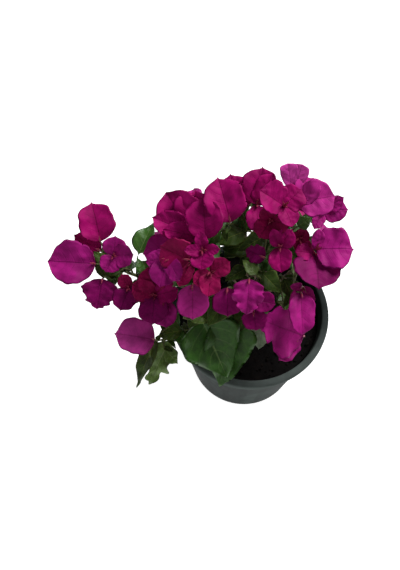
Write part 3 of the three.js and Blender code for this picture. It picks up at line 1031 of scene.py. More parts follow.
@dataclass(frozen=True)
class PotFinish:
    """Dark grey-green moulded plastic with a dusting, water marks, and painted light and shade.

    Below the shoulder the wall has the dusting and water marks, upright stripes of painted shade,
    and painted shade just under the skirt, where less of the lighter tone shows. Above it the rim
    is painted lighter towards the front, as painted light. The heights and depths where one turns
    into the other are metres.
    """

    plastic: str = "#2b302f"
    # The lighter tone: a dusting on the wall, and painted light on the front of the rim.
    dust_and_rim_light: str = "#525a57"
    # Painted shade: the colour of the upright stripes round the wall.
    shadow: str = "#1a1f1e"
    # How many upright stripes of painted shade go round the wall.
    shade_bands: float = 22
    shoulder: tuple[float, float] = (0.104, 0.097)
    # Heights where the painted shade under the skirt fades out.
    painted_skirt_shade: tuple[float, float] = (0.1, 0.085)
    # Depths where the painted light on the front of the rim comes in.
    front: tuple[float, float] = (0.0, -0.06)

    def made(self) -> bpy.types.Material:
        """The finished material."""
        paint = Paint("moulded_pot", roughness=0.5, gloss=0.01)
        x, y, z = paint.split(paint.places())
        streaks = paint.cloud(14, 4, paint.stretched((1, 1, 0.16)))
        blotches = paint.cloud(55, 5)
        grain = paint.cloud(900, 2)
        # Painted shade: upright stripes round the wall.
        shade_bands = (y.turn_of(x) * self.shade_bands).sine().between(-0.2, 0.9)
        wall = z.between(*self.shoulder)
        marks = 0.02 + streaks.between(0.4, 0.65) * 0.4 + blotches.between(0.42, 0.65) * 0.35
        # Painted shade just under the skirt: less of the lighter tone there.
        clear_of_skirt_shade = 0.55 + z.between(*self.painted_skirt_shade) * 0.45
        # Painted light: the rim lighter towards the front, broken by blotches.
        painted_front_light = y.between(*self.front) * (0.72 + blotches.between(0.4, 0.62) * 0.2)
        # The lighter tone's share: a dusting with water marks on the wall, less of it in the
        # painted shade, and painted light on the rim.
        dust_light_and_shade = wall * clear_of_skirt_shade * (marks - shade_bands * 0.15) + (1 - wall) * painted_front_light
        base = paint.mixed(shade_bands * 0.4, linear(self.plastic), linear(self.shadow))
        paint.feed("Base Color", paint.mixed(dust_light_and_shade, base, linear(self.dust_and_rim_light)))
        paint.feed("Roughness", 0.4 + dust_light_and_shade * 0.3 + grain * 0.12)
        paint.bump(grain * 0.5 + blotches * 0.5, 0.25, 0.0004)
        return paint.material


@dataclass(frozen=True)
class SoilFinish:
    """Damp near-black potting soil with lighter crumbs."""

    damp: str = "#070505"
    dry: str = "#17100e"

    def made(self, name: str) -> bpy.types.Material:
        """The finished material, under a name."""
        paint = Paint(name, roughness=0.92, gloss=0.1)
        clods = paint.cloud(170, 6)
        grains = paint.cloud(1100, 4)
        share = clods.between(0.45, 0.8) * 0.6 + grains.between(0.55, 0.85) * 0.4
        paint.feed("Base Color", paint.mixed(share, linear(self.damp), linear(self.dry)))
        paint.feed("Roughness", 0.78 + grains * 0.2)
        paint.bump(clods * 0.5 + grains * 0.5, 0.8, 0.0016)
        return paint.material


@dataclass(frozen=True)
class BarkFinish:
    """Thin grey-brown bark with lengthwise cracks, ridges and pale lenticels."""

    bark: str = "#6a5a44"
    crack: str = "#2f261c"
    young: str = "#5c6a34"
    ridges: float = 38

    def made(self, name: str, youth: float) -> bpy.types.Material:
        """The finished material.

        Args:
            name: Its name.
            youth: How green it is, from old bark at 0 to a new shoot at 1.

        Returns:
            The material.
        """
        paint = Paint(name, roughness=0.8)
        across, along = paint.sheet()
        cracks = paint.cloud(420, 5, paint.stretched((1, 1, 0.3)))
        specks = paint.cloud(1300, 2)
        blend = tuple(
            lerp(old, new, youth) for old, new in zip(linear(self.bark), linear(self.young)))
        cracked = cracks.between(0.5, 0.35) * (0.8 - 0.5 * youth)
        base = paint.mixed(cracked, blend, linear(self.crack))
        base = paint.mixed(specks.between(0.64, 0.72) * 0.35, base, shaded(blend, 1.8))
        paint.feed("Base Color", base)
        paint.feed("Roughness", 0.7 + cracks * 0.2)
        ridges = (across * self.ridges + along * 3).sine() * 0.12
        paint.bump(cracks * 0.7 + ridges, 0.6, 0.0008)
        return paint.material


@dataclass(frozen=True)
class BladeFinish:
    """A thin blade: its colour, its veins, its margin, a darker root end and a few soft blotches.

    pairs is how many side veins arch from each side of the midrib. The shares of veins, of the
    darker root end and of mottle say how strongly each of them shows. On bracts the darker margin
    and the
    darker root end are painted shade: the margin where it curls away, the root end where a
    blossom's bracts meet.
    """

    base: str
    vein: str
    # The margin colour: on bracts a darker tone, as painted shade; on the dark leaves a brownish
    # margin of their own.
    edge: str
    gloss: float = 0.08
    roughness: float = 0.55
    # How much painted shade darkens the root end.
    painted_root_shade: float = 0.6
    mottle: float = 0.2
    vein_share: float = 0.5
    pairs: float = 6
    relief: float = 0.6

    def made(self, name: str) -> bpy.types.Material:
        """The finished material, under a name."""
        paint = Paint(name, roughness=self.roughness, gloss=self.gloss)
        across, along = paint.sheet()
        side = abs(across * 2 - 1)
        midrib = side.between(0.055, 0.008)
        run = (along * self.pairs - side.power(1.3) * (self.pairs * 0.3)).fraction()
        arching = abs(run - 0.5).between(0.09, 0.015) * side.between(1.0, 0.25)
        fine = paint.cloud(620, 2)
        net = fine.between(0.47, 0.5) * fine.between(0.54, 0.51)
        blotch = paint.cloud(75, 4)
        veins = midrib * 0.95 + arching * 0.42 + net * 0.12
        base, vein, edge = linear(self.base), linear(self.vein), linear(self.edge)
        dark, light = shaded(base, 1 - self.mottle), shaded(base, 1 + self.mottle)
        tone = paint.mixed(blotch.between(0.35, 0.65), dark, light)
        # Margin colour: on bracts, painted shade where the margin curls away.
        tone = paint.mixed(side.between(0.8, 1.0) * 0.3, tone, edge)
        # Painted shade at the root end, where a blossom's bracts meet; leaves and florets have
        # none.
        tone = paint.mixed(along.between(0.28, 0.02) * self.painted_root_shade, tone, vein)
        paint.feed("Base Color", paint.mixed(veins * self.vein_share, tone, vein))
        paint.feed("Roughness", self.roughness + blotch * 0.1 - 0.05)
        paint.bump(1 - veins * 0.6 + blotch * 0.4, self.relief, 0.0005)
        return paint.material


BRACT_FINISHES = {
    # PALE and BRIGHT are lighter copies, painted light, and DUSKY a darker copy, painted shade.
    # Each margin colour is darker than its base: painted shade where the margin curls away.
    Hue.PALE: BladeFinish("#be3a94", "#8a2062", "#aa2e84"),
    Hue.BRIGHT: BladeFinish("#b02682", "#7a1454", "#9a1c70"),
    Hue.PURPLE: BladeFinish("#9c1672", "#660a48", "#841060"),
    Hue.ROSE: BladeFinish("#980a5e", "#600434", "#800a4c", 0.06),
    Hue.DEEP: BladeFinish("#900a4a", "#520422", "#780a3c"),
    Hue.DUSKY: BladeFinish("#7e0a58", "#4c0232", "#680848", 0.06),
}
LEAF_FINISHES = {
    Green.PALE: BladeFinish("#8a9c80", "#a4b298", "#748a68", 0.2, 0.5, 0, 0.2),
    Green.FRESH: BladeFinish("#627e38", "#8b9c64", "#4c6430", 0.3, 0.42, 0, 0.3),
    Green.PLAIN: BladeFinish("#34601a", "#7c9858", "#284a18", 0.42, 0.38, 0, 0.36, 0.55),
    # The dark green: partly painted shade for leaves inside the bush; the brownish margin is its
    # own.
    Green.DARK: BladeFinish("#304516", "#727c38", "#6c682c", 0.14, 0.5, 0, 0.45),
}
FLORET_FINISH = BladeFinish(
    "#8e2444", "#5e1230", "#8e2444", gloss=0.5, roughness=0.5, painted_root_shade=0, vein_share=0.2, pairs=2,
    relief=0.1)


# ---------------------------------------------------------------- work in edit mode


class Bench:
    """Works on one mesh in edit mode, with its faces and edges chosen in code."""

    def __init__(self, name: str) -> None:
        """Takes the primitive that was just added, and names it."""
        self.piece = bpy.context.object
        self.piece.name = name
        self.piece.data.name = name
        bpy.ops.object.transform_apply(location=True, rotation=True, scale=True)

    @classmethod
    def turned(cls, name: str, sides: int, radius: float, low: float, high: float) -> Bench:
        """A new round piece with its top face chosen.

        Args:
            name: The piece's name.
            sides: How many sides it has.
            radius: Its radius.
            low: The height of its foot.
            high: The height of its top.

        Returns:
            The bench that holds it.
        """
        cls.clear()
        bpy.ops.mesh.primitive_cylinder_add(
            vertices=sides, radius=radius, depth=high - low, location=(0, 0, (low + high) / 2))
        bench = cls(name)
        bench.choose_faces(lambda face: face.normal.z > 0.9)
        return bench

    @staticmethod
    def clear() -> None:
        """Lets go of all that is selected."""
        if bpy.context.object and bpy.context.object.mode != "OBJECT":
            bpy.ops.object.mode_set(mode="OBJECT")
        bpy.ops.object.select_all(action="DESELECT")

    def choose_faces(self, wanted: Callable[[bpy.types.MeshPolygon], bool]) -> None:
        """Selects the faces that a test wants, and goes into edit mode.

        Args:
            wanted: The test of one face.
        """
        self.rest()
        mesh = self.piece.data
        for part in (*mesh.vertices, *mesh.edges):
            part.select = False
        for face in mesh.polygons:
            face.select = wanted(face)
        self.work("FACE")

    def choose_edges(self, wanted: Callable[[Vector, Vector], bool]) -> None:
        """Selects the edges that a test wants, and goes into edit mode.

        Args:
            wanted: The test of an edge's two ends.
        """
        self.rest()
        mesh = self.piece.data
        for part in (*mesh.vertices, *mesh.polygons):
            part.select = False
        for edge in mesh.edges:
            one, other = (mesh.vertices[index].co for index in edge.vertices)
            edge.select = wanted(one, other)
        self.work("EDGE")

    def work(self, mode: str) -> None:
        """Goes into edit mode.

        Args:
            mode: What is selected there, FACE or EDGE.
        """
        bpy.context.tool_settings.mesh_select_mode = (False, mode == "EDGE", mode == "FACE")
        bpy.ops.object.mode_set(mode="EDIT")

    def rest(self) -> None:
        """Goes back to object mode, with only this piece selected."""
        if self.piece.mode != "OBJECT":
            bpy.ops.object.mode_set(mode="OBJECT")
        bpy.ops.object.select_all(action="DESELECT")
        self.piece.select_set(True)
        bpy.context.view_layer.objects.active = self.piece

    def raise_to(self, rise: float, ratio: float, middle: tuple[float, float, float]) -> None:
        """Extrudes the chosen end face straight up or down and sizes it.

        Args:
            rise: How far it moves along Z.
            ratio: Its new radius by its old.
            middle: The middle of the moved face.
        """
        bpy.ops.mesh.extrude_region_move(TRANSFORM_OT_translate={"value": (0, 0, rise)})
        bpy.ops.transform.resize(value=(ratio, ratio, 1), center_override=middle)

    def finish(self, material: bpy.types.Material, angle: float = 35) -> bpy.types.Object:
        """Leaves edit mode and gives the piece its material and smooth shading.

        Args:
            material: Its finish.
            angle: Edges sharper than this stay sharp, in degrees.

        Returns:
            The finished piece.
        """
        self.rest()
        self.piece.data.materials.clear()
        self.piece.data.materials.append(material)
        bpy.ops.object.shade_smooth_by_angle(angle=math.radians(angle))
        return self.piece


# ---------------------------------------------------------------- pot and soil


@dataclass
class Pot:
    """The nursery pot: a tapered wall, a shoulder, a skirt and a rounded rim."""

    height: float = 125 * MM
    base_radius: float = 55.5 * MM
    shoulder_radius: float = 68.5 * MM
    shoulder_height: float = 104 * MM
    skirt_radius: float = 71.5 * MM
    skirt_flare: float = 0.8 * MM
    rim_radius: float = 75 * MM
    rim_fall: float = 7 * MM
    lip: float = 6.5 * MM
    wall: float = 2.4 * MM
    floor: float = 3 * MM
    foot: float = 2.5 * MM
    sides: int = 144
    hole_radius: float = 4.5 * MM
    hole_circle: float = 38 * MM
    holes: int = 6
    lugs: int = 4
    first_lug: float = 36
    lug_size: tuple[float, float, float] = (7 * MM, 3.2 * MM, 5 * MM)
    edge: float = 1 * MM
    pieces: list[bpy.types.Object] = field(default_factory=list)

    def wall_radius(self, height: float) -> float:
        """The wall's outer radius at a height below the shoulder."""
        return lerp(self.base_radius, self.shoulder_radius, height / self.shoulder_height)

    def build(self, material: bpy.types.Material) -> None:
        """Models the shell, drills its holes and adds its lugs.

        Args:
            material: The pot's finish.
        """
        rim_foot = self.height - self.rim_fall
        mouth = self.rim_radius - self.lip
        profile = [
            (self.wall_radius(self.foot), self.foot),
            (self.wall_radius(self.foot * 2) - 0.3 * MM, self.foot + 0.6 * MM),
            (self.wall_radius(self.shoulder_height / 2), self.shoulder_height / 2),
            (self.shoulder_radius, self.shoulder_height - self.edge),
            (self.skirt_radius, self.shoulder_height + self.edge),
            (self.skirt_radius + self.skirt_flare, rim_foot),
            (self.rim_radius, rim_foot + self.edge),
            (self.rim_radius, self.height),
            (mouth, self.height),
            (self.wall_radius(self.shoulder_height) - self.wall, self.shoulder_height),
            (self.wall_radius(self.floor) - self.wall, self.floor),
        ]
        radius, height = profile[0]
        bench = Bench.turned("nursery_pot", self.sides, self.base_radius, 0, height)
        ratio = radius / self.base_radius
        bpy.ops.transform.resize(value=(ratio, ratio, 1), center_override=(0, 0, height))
        for next_radius, next_height in profile[1:]:
            bench.raise_to(next_height - height, next_radius / radius, (0, 0, next_height))
            radius, height = next_radius, next_height
        self.round_edges(bench, rim_foot, mouth)
        self.drill(bench)
        self.pieces.append(bench.finish(material))
        self.pieces.append(self.lug_ring(material, rim_foot))

    def round_edges(self, bench: Bench, rim_foot: float, mouth: float) -> None:
        """Rounds the rim's edges and eases the shoulder.

        Args:
            bench: Where the shell is worked on.
            rim_foot: The height where the rim starts.
            mouth: The radius of the rim's inner edge.
        """
        rings = (
            (self.rim_radius, self.height, 2.2 * MM),
            (mouth, self.height, 1.6 * MM),
            (self.rim_radius, rim_foot + self.edge, 0.6 * MM),
            (self.skirt_radius, self.shoulder_height + self.edge, 0.8 * MM),
            (self.base_radius, 0.0, 0.9 * MM),
        )
        close = 0.2 * MM
        for radius, height, width in rings:
            def on_ring(one: Vector, other: Vector, radius: float = radius,
                        height: float = height) -> bool:
                """Whether an edge lies on the ring."""
                return all(
                    abs(end.z - height) < close and abs(end.xy.length - radius) < close
                    for end in (one, other)
                )
            bench.choose_edges(on_ring)
            bpy.ops.mesh.bevel(offset=width, segments=4, affect="EDGES")

    def drill(self, bench: Bench) -> None:
        """Cuts the drain holes through the floor.

        Args:
            bench: Where the shell is worked on.
        """
        bench.rest()
        for hole in range(self.holes):
            turn = hole / self.holes * math.tau
            place = (self.hole_circle * math.cos(turn), self.hole_circle * math.sin(turn), 0)
            Bench.clear()
            bpy.ops.mesh.primitive_cylinder_add(
                vertices=24, radius=self.hole_radius, depth=self.floor * 3, location=place)
            drill = bpy.context.object
            bench.rest()
            cut = bench.piece.modifiers.new("hole", "BOOLEAN")
            cut.operation = "DIFFERENCE"
            cut.solver = "EXACT"
            cut.object = drill
            bpy.ops.object.modifier_apply(modifier=cut.name)
            bpy.data.objects.remove(drill)

    def lug_ring(self, material: bpy.types.Material, rim_foot: float) -> bpy.types.Object:
        """The small stacking lugs under the rim, as one piece.

        Args:
            material: The pot's finish.
            rim_foot: The height where the rim starts.

        Returns:
            The joined lugs.
        """
        width, depth, height = self.lug_size
        made: list[bpy.types.Object] = []
        for lug in range(self.lugs):
            turn = math.radians(self.first_lug + lug / self.lugs * 360 - 90)
            out = self.skirt_radius + depth / 4
            place = (out * math.cos(turn), out * math.sin(turn), rim_foot + self.edge - height / 2)
            Bench.clear()
            bpy.ops.mesh.primitive_cube_add(
                size=1, location=place, rotation=(0, 0, turn + math.pi / 2))
            bpy.context.object.scale = (width, depth, height)
            bench = Bench(f"pot_lug_{lug}")
            bench.choose_faces(lambda face: face.normal.z < -0.9)
            bpy.ops.transform.resize(value=(0.8, 0.8, 1), center_override=(place[0], place[1], 0))
            bench.choose_edges(lambda one, other: True)
            bpy.ops.mesh.bevel(offset=0.6 * MM, segments=2, affect="EDGES")
            made.append(bench.finish(material))
        Bench.clear()
        for piece in made:
            piece.select_set(True)
        bpy.context.view_layer.objects.active = made[0]
        bpy.ops.object.join()
        made[0].name = "pot_lugs"
        return made[0]


@dataclass
class Soil:
    """The potting soil: a lumpy bed and loose crumbs on it."""

    pot: Pot
    top: float = 112 * MM
    crown: float = 3 * MM
    level_radius: float = 28 * MM
    gap: float = 0.3 * MM
    rings: int = 22
    sides: int = 128
    lump: float = 1.7 * MM
    crumbs: int = 420
    crumb_size: tuple[float, float] = (0.6, 2.2)
    crumb_seed: int = 71
    settled: float = 0.8 * MM
    pieces: list[bpy.types.Object] = field(default_factory=list)

    def surface(self, x: float, y: float) -> float:
        """The soil's height at a place, in metres."""
        out = math.hypot(x, y)
        edge = self.pot.wall_radius(self.pot.shoulder_height) - self.pot.wall
        crown = self.crown * (1 - smooth(self.level_radius, edge, out))
        place = Vector((x, y, 0)) / MM
        lumps = noise.fractal(place * 0.16, 0.9, 2.2, 5) * self.lump
        return self.top + crown + lumps * (1 - smooth(edge * 0.93, edge, out)) - self.settled

    def build(self, material: bpy.types.Material, loose: bpy.types.Material) -> None:
        """Models the bed and scatters the crumbs.

        Args:
            material: The bed's finish.
            loose: The crumbs' finish.
        """
        low = self.pot.floor + self.gap
        radius = self.pot.wall_radius(self.pot.shoulder_height) - self.pot.wall - self.gap
        foot = self.pot.wall_radius(low) - self.pot.wall - self.gap
        height = low + self.pot.floor
        bench = Bench.turned("potting_soil", self.sides, foot, low, height)
        for next_radius, next_height in ((radius, self.pot.shoulder_height), (radius, self.top)):
            ratio = next_radius / foot
            bench.raise_to(next_height - height, ratio, (0, 0, next_height))
            foot, height = next_radius, next_height
        for _ in range(self.rings):
            bpy.ops.mesh.inset(thickness=radius / (self.rings + 1))
        bpy.ops.mesh.poke()
        bench.rest()
        for vertex in bench.piece.data.vertices:
            if vertex.co.z > self.top - self.gap:
                vertex.co.z = self.surface(vertex.co.x, vertex.co.y)
        self.pieces.append(bench.finish(material, 80))
        self.pieces.append(self.scatter(loose, radius))

    def scatter(self, material: bpy.types.Material, radius: float) -> bpy.types.Object:
        """Loose crumbs of soil and bark on the bed.

        Args:
            material: Their finish.
            radius: The bed's radius.

        Returns:
            The crumbs as one piece.
        """
        Bench.clear()
        bpy.ops.mesh.primitive_ico_sphere_add(subdivisions=1, radius=1)
        pattern = bpy.context.object
        corners = [vertex.co.copy() for vertex in pattern.data.vertices]
        faces = [tuple(face.vertices) for face in pattern.data.polygons]
        bpy.data.objects.remove(pattern)
        draw = Draws(self.crumb_seed)
        heap = Heap()
        for _ in range(self.crumbs):
            out = (radius / MM - 2) * math.sqrt(draw(0.02, 1))
            around = draw(0, math.tau)
            size = lerp(*self.crumb_size, draw(0, 1) ** 2)
            stretch = Vector((draw(0.7, 1.6), draw(0.7, 1.2), draw(0.5, 0.9))) * size
            spin = Matrix.Rotation(draw(0, math.tau), 3, "Z")
            spin = spin @ Matrix.Rotation(draw(-0.6, 0.6), 3, "X")
            x, y = out * math.cos(around), out * math.sin(around)
            place = Vector((x, y, self.surface(x * MM, y * MM) / MM + 0.25 * size))
            lumpy = [
                place + spin @ Vector([
                    part * scale * draw(0.75, 1.15) for part, scale in zip(corner, stretch)
                ])
                for corner in corners
            ]
            heap.add(lumpy, faces, [(0.5, 0.5)] * len(corners))
        return heap.made("soil_crumbs", material)


# ---------------------------------------------------------------- the bush


@dataclass(frozen=True)
class Limb:
    """How one kind of limb is drawn: its radii at both ends, its steps and its sides."""

    radii: tuple[float, float]
    steps: int
    sides: int

    def radius(self, share: float) -> float:
        """The radius at a share of the length."""
        return lerp(*self.radii, share)


@dataclass(frozen=True)
class LeafRanges:
    """The ranges that the small leaves of one kind are drawn from.

    The rise is degrees above the level, the length millimetres, and the breadth a share of it.
    """

    rise: tuple[float, float]
    length: tuple[float, float]
    breadth: tuple[float, float]


@dataclass
class Bush:
    """The trunk, its boughs and the foliage that they carry."""

    trunk_foot: tuple[float, float, float] = (-1, 0, 115.3)
    trunk_elbow: tuple[float, float, float] = (-1, 0, 140)
    trunk_tip: tuple[float, float, float] = (-8, 4, 166)
    trunk_sunk: float = 2
    flare: float = 2
    flare_length: float = 1 / 6
    trunk: Limb = Limb((7, 4.2), 40, 28)
    bough: Limb = Limb((2.9, 1.9), 26, 14)
    stem: Limb = Limb((1.7, 1.1), 16, 10)
    twig: Limb = Limb((0.95, 0.7), 6, 8)
    thorn: Limb = Limb((0.55, 0.1), 3, 6)
    thorns: int = 3
    thorn_length: tuple[float, float] = (3.5, 6)
    twig_first: float = 0.25
    twig_behind: float = 0.45
    twig_drawn_back: float = 0.3
    floret_length: float = 11
    floret_upright: float = 2.6
    small_leaves: LeafRanges = LeafRanges((-25, 35), (20, 32), (0.5, 0.66))
    young_leaves: LeafRanges = LeafRanges((-30, 10), (8, 15), (0.45, 0.6))
    joints: tuple[float, ...] = (0.35, 0.6, 0.82)
    thorn_seed: int = 401
    young_seed: int = 500
    loose_seed: int = 900
    wood: Heap = field(default_factory=Heap)
    twigs: Heap = field(default_factory=Heap)
    florets: Heap = field(default_factory=Heap)
    bracts: dict[Hue, Heap] = field(default_factory=lambda: {hue: Heap() for hue in Hue})
    leaves: dict[Green, Heap] = field(default_factory=lambda: {green: Heap() for green in Green})

    def trunk_line(self) -> Arc:
        """The trunk's middle line."""
        return Arc(Vector(self.trunk_foot), Vector(self.trunk_elbow), Vector(self.trunk_tip))

    def bough_line(self, spray: Spray) -> Arc:
        """A bough's middle line, from inside the trunk to its tip."""
        start = self.trunk_line().point(spray.leaves)
        tip = Vector(spray.tip)
        middle = start.lerp(tip, 0.5) + Vector((0, 0, spray.arch))
        return Arc(start, middle, tip)

    def stem_line(self, spray: Spray) -> Arc:
        """A spray's stem, from its bough's tip to its hub."""
        start = Vector(spray.tip)
        hub = Vector(spray.hub)
        onward = self.bough_line(spray).tangent(1)
        return Arc(start, start + onward * ((hub - start).length / 2), hub)

    @staticmethod
    def bark(place: Vector) -> float:
        """How far old bark stands out at a place, in millimetres."""
        stretched = Vector((place.x * 0.55, place.y * 0.55, place.z * 0.18))
        ridges = noise.fractal(stretched, 0.9, 2.1, 4) * 0.42
        knots = noise.noise(place * 0.11) * 0.35
        return ridges + knots

    def grow_wood(self) -> None:
        """Grows the trunk, the boughs and their thorns."""
        def trunk_radius(share: float) -> float:
            """The trunk's radius at a share of its length."""
            flaring = max(0.0, 1 - share / self.flare_length)
            return self.trunk.radius(share) + self.flare * flaring ** 1.5

        line = self.trunk_line().points(self.trunk.steps)
        line[0] = line[0] - Vector((0, 0, self.trunk_sunk))
        add_tube(self.wood, line, trunk_radius, self.trunk.sides, self.bark)
        draw = Draws(self.thorn_seed)
        bough = self.bough
        for spray in SPRAYS.values():
            arc = self.bough_line(spray)
            add_tube(self.wood, arc.points(bough.steps), bough.radius, bough.sides, self.bark)
            for _ in range(self.thorns):
                share = draw(0.3, 0.95)
                self.grow_thorn(arc.point(share), arc.tangent(share), bough.radius(share), draw)

    def grow_thorn(self, place: Vector, along: Vector, radius: float, draw: Draws) -> None:
        """Grows a short curved thorn on a bough.

        Args:
            place: A place on the bough's middle line.
            along: The bough's direction there.
            radius: The bough's radius there.
            draw: The row of numbers that its turn and length come from.
        """
        outward = turned(upright_to(along), along, draw(0, 360))
        length = draw(*self.thorn_length)
        root = place + outward * (radius * 0.7)
        bend = root + outward * (length * 0.6)
        tip = bend + (outward * 0.8 - along * 0.5) * (length * 0.5)
        line = through([root, bend, tip], self.thorn.steps)
        add_tube(self.twigs, line, self.thorn.radius, self.thorn.sides)

    def twig_knots(self, stem: Arc, shoot: Blossom | Leaf, share: float) -> list[Vector]:
        """The places that a twig goes through.

        Args:
            stem: The spray's stem.
            shoot: What the twig carries.
            share: Where it leaves the stem.

        Returns:
            Its start, its bend and its end.
        """
        start = stem.point(share)
        end = Vector(shoot.at)
        behind = end - heading(*shoot.faces) * (self.twig_behind * (start - end).length)
        return [start, behind.lerp(start, self.twig_drawn_back), end]

    def grow_spray(self, spray: Spray, number: int) -> None:
        """Grows one spray's stem, twigs, blossoms and leaves.

        Args:
            spray: The spray.
            number: Its place in the row, which seeds its draws.
        """
        stem = self.stem_line(spray)
        add_tube(self.twigs, stem.points(self.stem.steps), self.stem.radius, self.stem.sides)
        loose = Draws(self.loose_seed + number)
        twigs: list[list[Vector]] = []
        count = len(spray.shoots)
        for place, shoot in enumerate(spray.shoots):
            knots = self.twig_knots(stem, shoot, lerp(self.twig_first, 1, (place + 1) / count))
            twigs.append(knots)
            line = through(knots, self.twig.steps)
            add_tube(self.twigs, line, self.twig.radius, self.twig.sides)
            if isinstance(shoot, Blossom):
                self.grow_blossom(shoot, shoot.hue or spray.hue, loose)
            else:
                blade = Blade.rolled(
                    Vector(shoot.at), heading(*shoot.faces), shoot.roll, shoot.length, shoot.width)
                blade.grow(self.leaves[shoot.green], shoot.form or LEAF_FORM, loose)
        self.grow_small_leaves(spray, twigs, Draws(number), loose)
        self.grow_young_leaves(spray, twigs, Draws(self.young_seed + number))

    def grow_blossom(self, blossom: Blossom, hue: Hue, loose: Draws) -> None:
        """Grows a blossom's bracts and its florets.

        Args:
            blossom: The blossom.
            hue: Its bracts' colour.
            loose: The row of numbers that its small differences come from.
        """
        axis = heading(*blossom.faces)
        root = Vector(blossom.at)
        for bract in blossom.bracts:
            habit = bract.hold.value
            away = turned(upright_to(axis), axis, bract.turn)
            opening = math.radians(habit.open)
            direction = axis * math.cos(opening) + away * math.sin(opening)
            face = axis * math.sin(opening) - away * math.cos(opening)
            blade = Blade(root, direction, face, bract.length, bract.length * habit.breadth)
            blade.grow(self.bracts[bract.hue or hue], bract.form or BRACT_FORM, loose)
            self.grow_floret(root, (axis * self.floret_upright + away).normalized(), loose)

    def grow_floret(self, root: Vector, direction: Vector, loose: Draws) -> None:
        """Grows a slim closed floret.

        Args:
            root: Where it starts.
            direction: Where it points.
            loose: The row of numbers that its length comes from.
        """
        length = self.floret_length * loose(0.7, 0.95)
        bend = root + direction * (length * 0.5) + heading(loose(0, 360), 0) * 0.4
        tip = root + direction * length

        def radius(share: float) -> float:
            """A waist above the root and a bud at the end."""
            waist = 0.62 + 0.38 * math.sin(share * math.pi * 1.7 - 0.4)
            return waist - 0.5 * smooth(0.88, 1, share)

        add_tube(self.florets, through([root, bend, tip], 5), radius, 8)

    def grow_small_leaves(
        self, spray: Spray, twigs: list[list[Vector]], draw: Draws, loose: Draws
    ) -> None:
        """Grows the small leaves along a spray's twigs by the seeded rule.

        Args:
            spray: The spray.
            twigs: The places that its twigs go through.
            draw: The rule's row of numbers.
            loose: The row of numbers that the blades' waves come from.
        """
        for _ in range(spray.small):
            twig = twigs[math.floor(draw(0, len(twigs)))]
            place = twig[0].lerp(twig[1], draw(0.4, 1))
            self.grow_leaf(spray, place, self.small_leaves, spray.green, draw, loose)

    def grow_young_leaves(self, spray: Spray, twigs: list[list[Vector]], draw: Draws) -> None:
        """Grows short young leaves at the joints of a spray's twigs.

        Args:
            spray: The spray.
            twigs: The places that its twigs go through.
            draw: The row of numbers that they come from.
        """
        for twig in twigs:
            line = through(twig, self.twig.steps)
            for joint in self.joints:
                place = line[round(joint * (len(line) - 1))]
                # The dark green is partly painted shade here, inside the bush.
                self.grow_leaf(spray, place, self.young_leaves, Green.DARK, draw, draw)

    def grow_leaf(
        self,
        spray: Spray,
        place: Vector,
        ranges: LeafRanges,
        green: Green,
        draw: Draws,
        loose: Draws,
    ) -> None:
        """Grows one small leaf, if it stays within its spray's space.

        Args:
            spray: The spray.
            place: Where the leaf starts.
            ranges: What it is drawn from.
            green: Its green.
            draw: The row of numbers that its direction and size come from.
            loose: The row of numbers that its waves come from.
        """
        direction = heading(draw(0, 360), draw(*ranges.rise))
        roll = draw(-35, 35)
        length = draw(*ranges.length)
        width = length * draw(*ranges.breadth)
        if (place + direction * length - Vector(spray.hub)).length < spray.space:
            blade = Blade.rolled(place, direction, roll, length, width)
            blade.grow(self.leaves[green], SMALL_LEAF_FORM, loose)

    def build(self) -> list[bpy.types.Object]:
        """Grows it all and makes its pieces.

        Returns:
            The pieces, each with its finish. The nodes that they stand in for are hidden.
        """
        self.grow_wood()
        for number, spray in enumerate(SPRAYS.values(), start=1):
            self.grow_spray(spray, number)
        bark = BarkFinish()
        wood = self.wood.made("trunk_and_boughs", bark.made("old_bark", 0.0))
        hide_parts("trunk", *(f"{name}_bough" for name in SPRAYS))
        pieces = [wood]
        masses = [f"{name}_foliage" for name in SPRAYS]
        twigs = self.twigs.made("stems_and_twigs", bark.made("young_bark", 0.75))
        pieces.append(twigs)
        for hue, heap in self.bracts.items():
            finish = BRACT_FINISHES[hue].made(f"bract_{hue.value}")
            piece = heap.made(f"bracts_{hue.value}", finish)
            pieces.append(piece)
        for green, heap in self.leaves.items():
            finish = LEAF_FINISHES[green].made(f"leaf_{green.value}")
            piece = heap.made(f"leaves_{green.value}", finish)
            pieces.append(piece)
        buds = self.florets.made("florets", FLORET_FINISH.made("floret_tube"))
        pieces.append(buds)
        for piece in pieces[1:]:
            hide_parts(*masses)
        return pieces


# ---------------------------------------------------------------- stage


@dataclass(frozen=True)
class Lamp:
    """One soft square light: its name, its place, its side in metres and its power in watts."""

    name: str
    place: tuple[float, float, float]
    size: float
    power: float

    def hang(self, aim: Vector) -> None:
        """Hangs the light.

        Args:
            aim: The place that it is turned towards.
        """
        lamp = bpy.data.lights.new(self.name, "AREA")
        lamp.size = self.size
        lamp.energy = self.power
        holder = bpy.data.objects.new(self.name, lamp)
        holder.location = self.place
        line = aim - Vector(self.place)
        holder.rotation_euler = line.to_track_quat("-Z", "Y").to_euler()
        bpy.context.scene.collection.objects.link(holder)


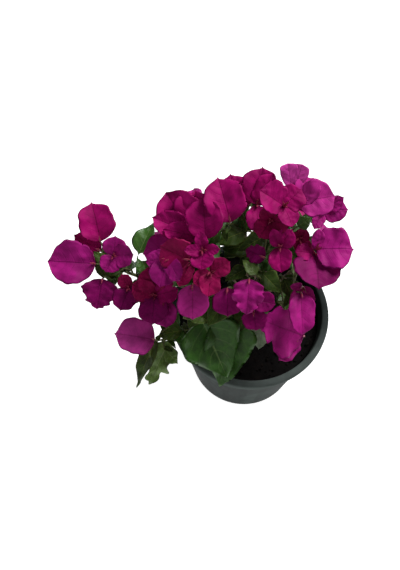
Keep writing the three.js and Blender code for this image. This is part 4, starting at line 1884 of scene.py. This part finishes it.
@dataclass(frozen=True)
class Studio:
    """The pale floor, the soft light and the camera."""

    floor_size: float = 6.0
    floor_drop: float = 0.5 * MM
    floor_tone: float = 0.6
    floor_glow: float = 0.93
    room_glow: float = 0.16
    lamps: tuple[Lamp, ...] = (
        Lamp("key_light", (0.8, 0.75, 1.3), 0.85, 32),
        Lamp("fill_light", (-0.7, -1.1, 1.4), 1.4, 3),
    )
    aim: tuple[float, float, float] = (0, 0, 0.15)
    lens: float = 42.947
    camera_place: tuple[float, float, float] = (-0.0471, -0.2578, 0.7168)
    camera_pitch: float = 64.29

    def build(self) -> None:
        """Sets the stage."""
        Bench.clear()
        bpy.ops.mesh.primitive_plane_add(size=self.floor_size, location=(0, 0, -self.floor_drop))
        floor = Bench("pale_floor").piece
        paint = Paint("pale_floor", roughness=0.9)
        paint.shader.inputs["Base Color"].default_value = (*[self.floor_tone] * 3, 1)
        paint.shader.inputs["Emission Color"].default_value = (1, 1, 1, 1)
        paint.shader.inputs["Emission Strength"].default_value = self.floor_glow
        floor.data.materials.append(paint.material)
        for lamp in self.lamps:
            lamp.hang(Vector(self.aim))
        world = bpy.data.worlds.new("soft_room")
        world.use_nodes = True
        backdrop = world.node_tree.nodes["Background"]
        backdrop.inputs["Color"].default_value = (1, 1, 1, 1)
        backdrop.inputs["Strength"].default_value = self.room_glow
        bpy.context.scene.world = world
        bpy.context.scene.view_settings.view_transform = "Standard"
        camera = bpy.data.cameras.new("camera")
        camera.lens = self.lens
        camera.clip_start = 0.01
        seat = bpy.data.objects.new("camera", camera)
        seat.location = self.camera_place
        seat.rotation_euler = (math.radians(90 - self.camera_pitch), 0, 0)
        bpy.context.scene.collection.objects.link(seat)
        bpy.context.scene.camera = seat


def main() -> None:
    """Builds the stage, the pot, the soil and the bush, and ties them to the frame."""
    logging.basicConfig(level=logging.INFO, format="%(name)s: %(message)s")
    Studio().build()
    pot = Pot()
    pot.build(PotFinish().made())
    for piece in pot.pieces:
        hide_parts("pot")
    soil = Soil(pot)
    soil.build(SoilFinish().made("bed_soil"), SoilFinish("#0a0706", "#201712").made("loose_soil"))
    for piece in soil.pieces:
        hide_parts("soil")
    pieces = [*pot.pieces, *soil.pieces, *Bush().build()]
    for piece in pieces:
        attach(piece, "root")
        LOG.info("%s: %d faces", piece.name, len(piece.data.polygons))


if __name__ == "__main__":
    main()
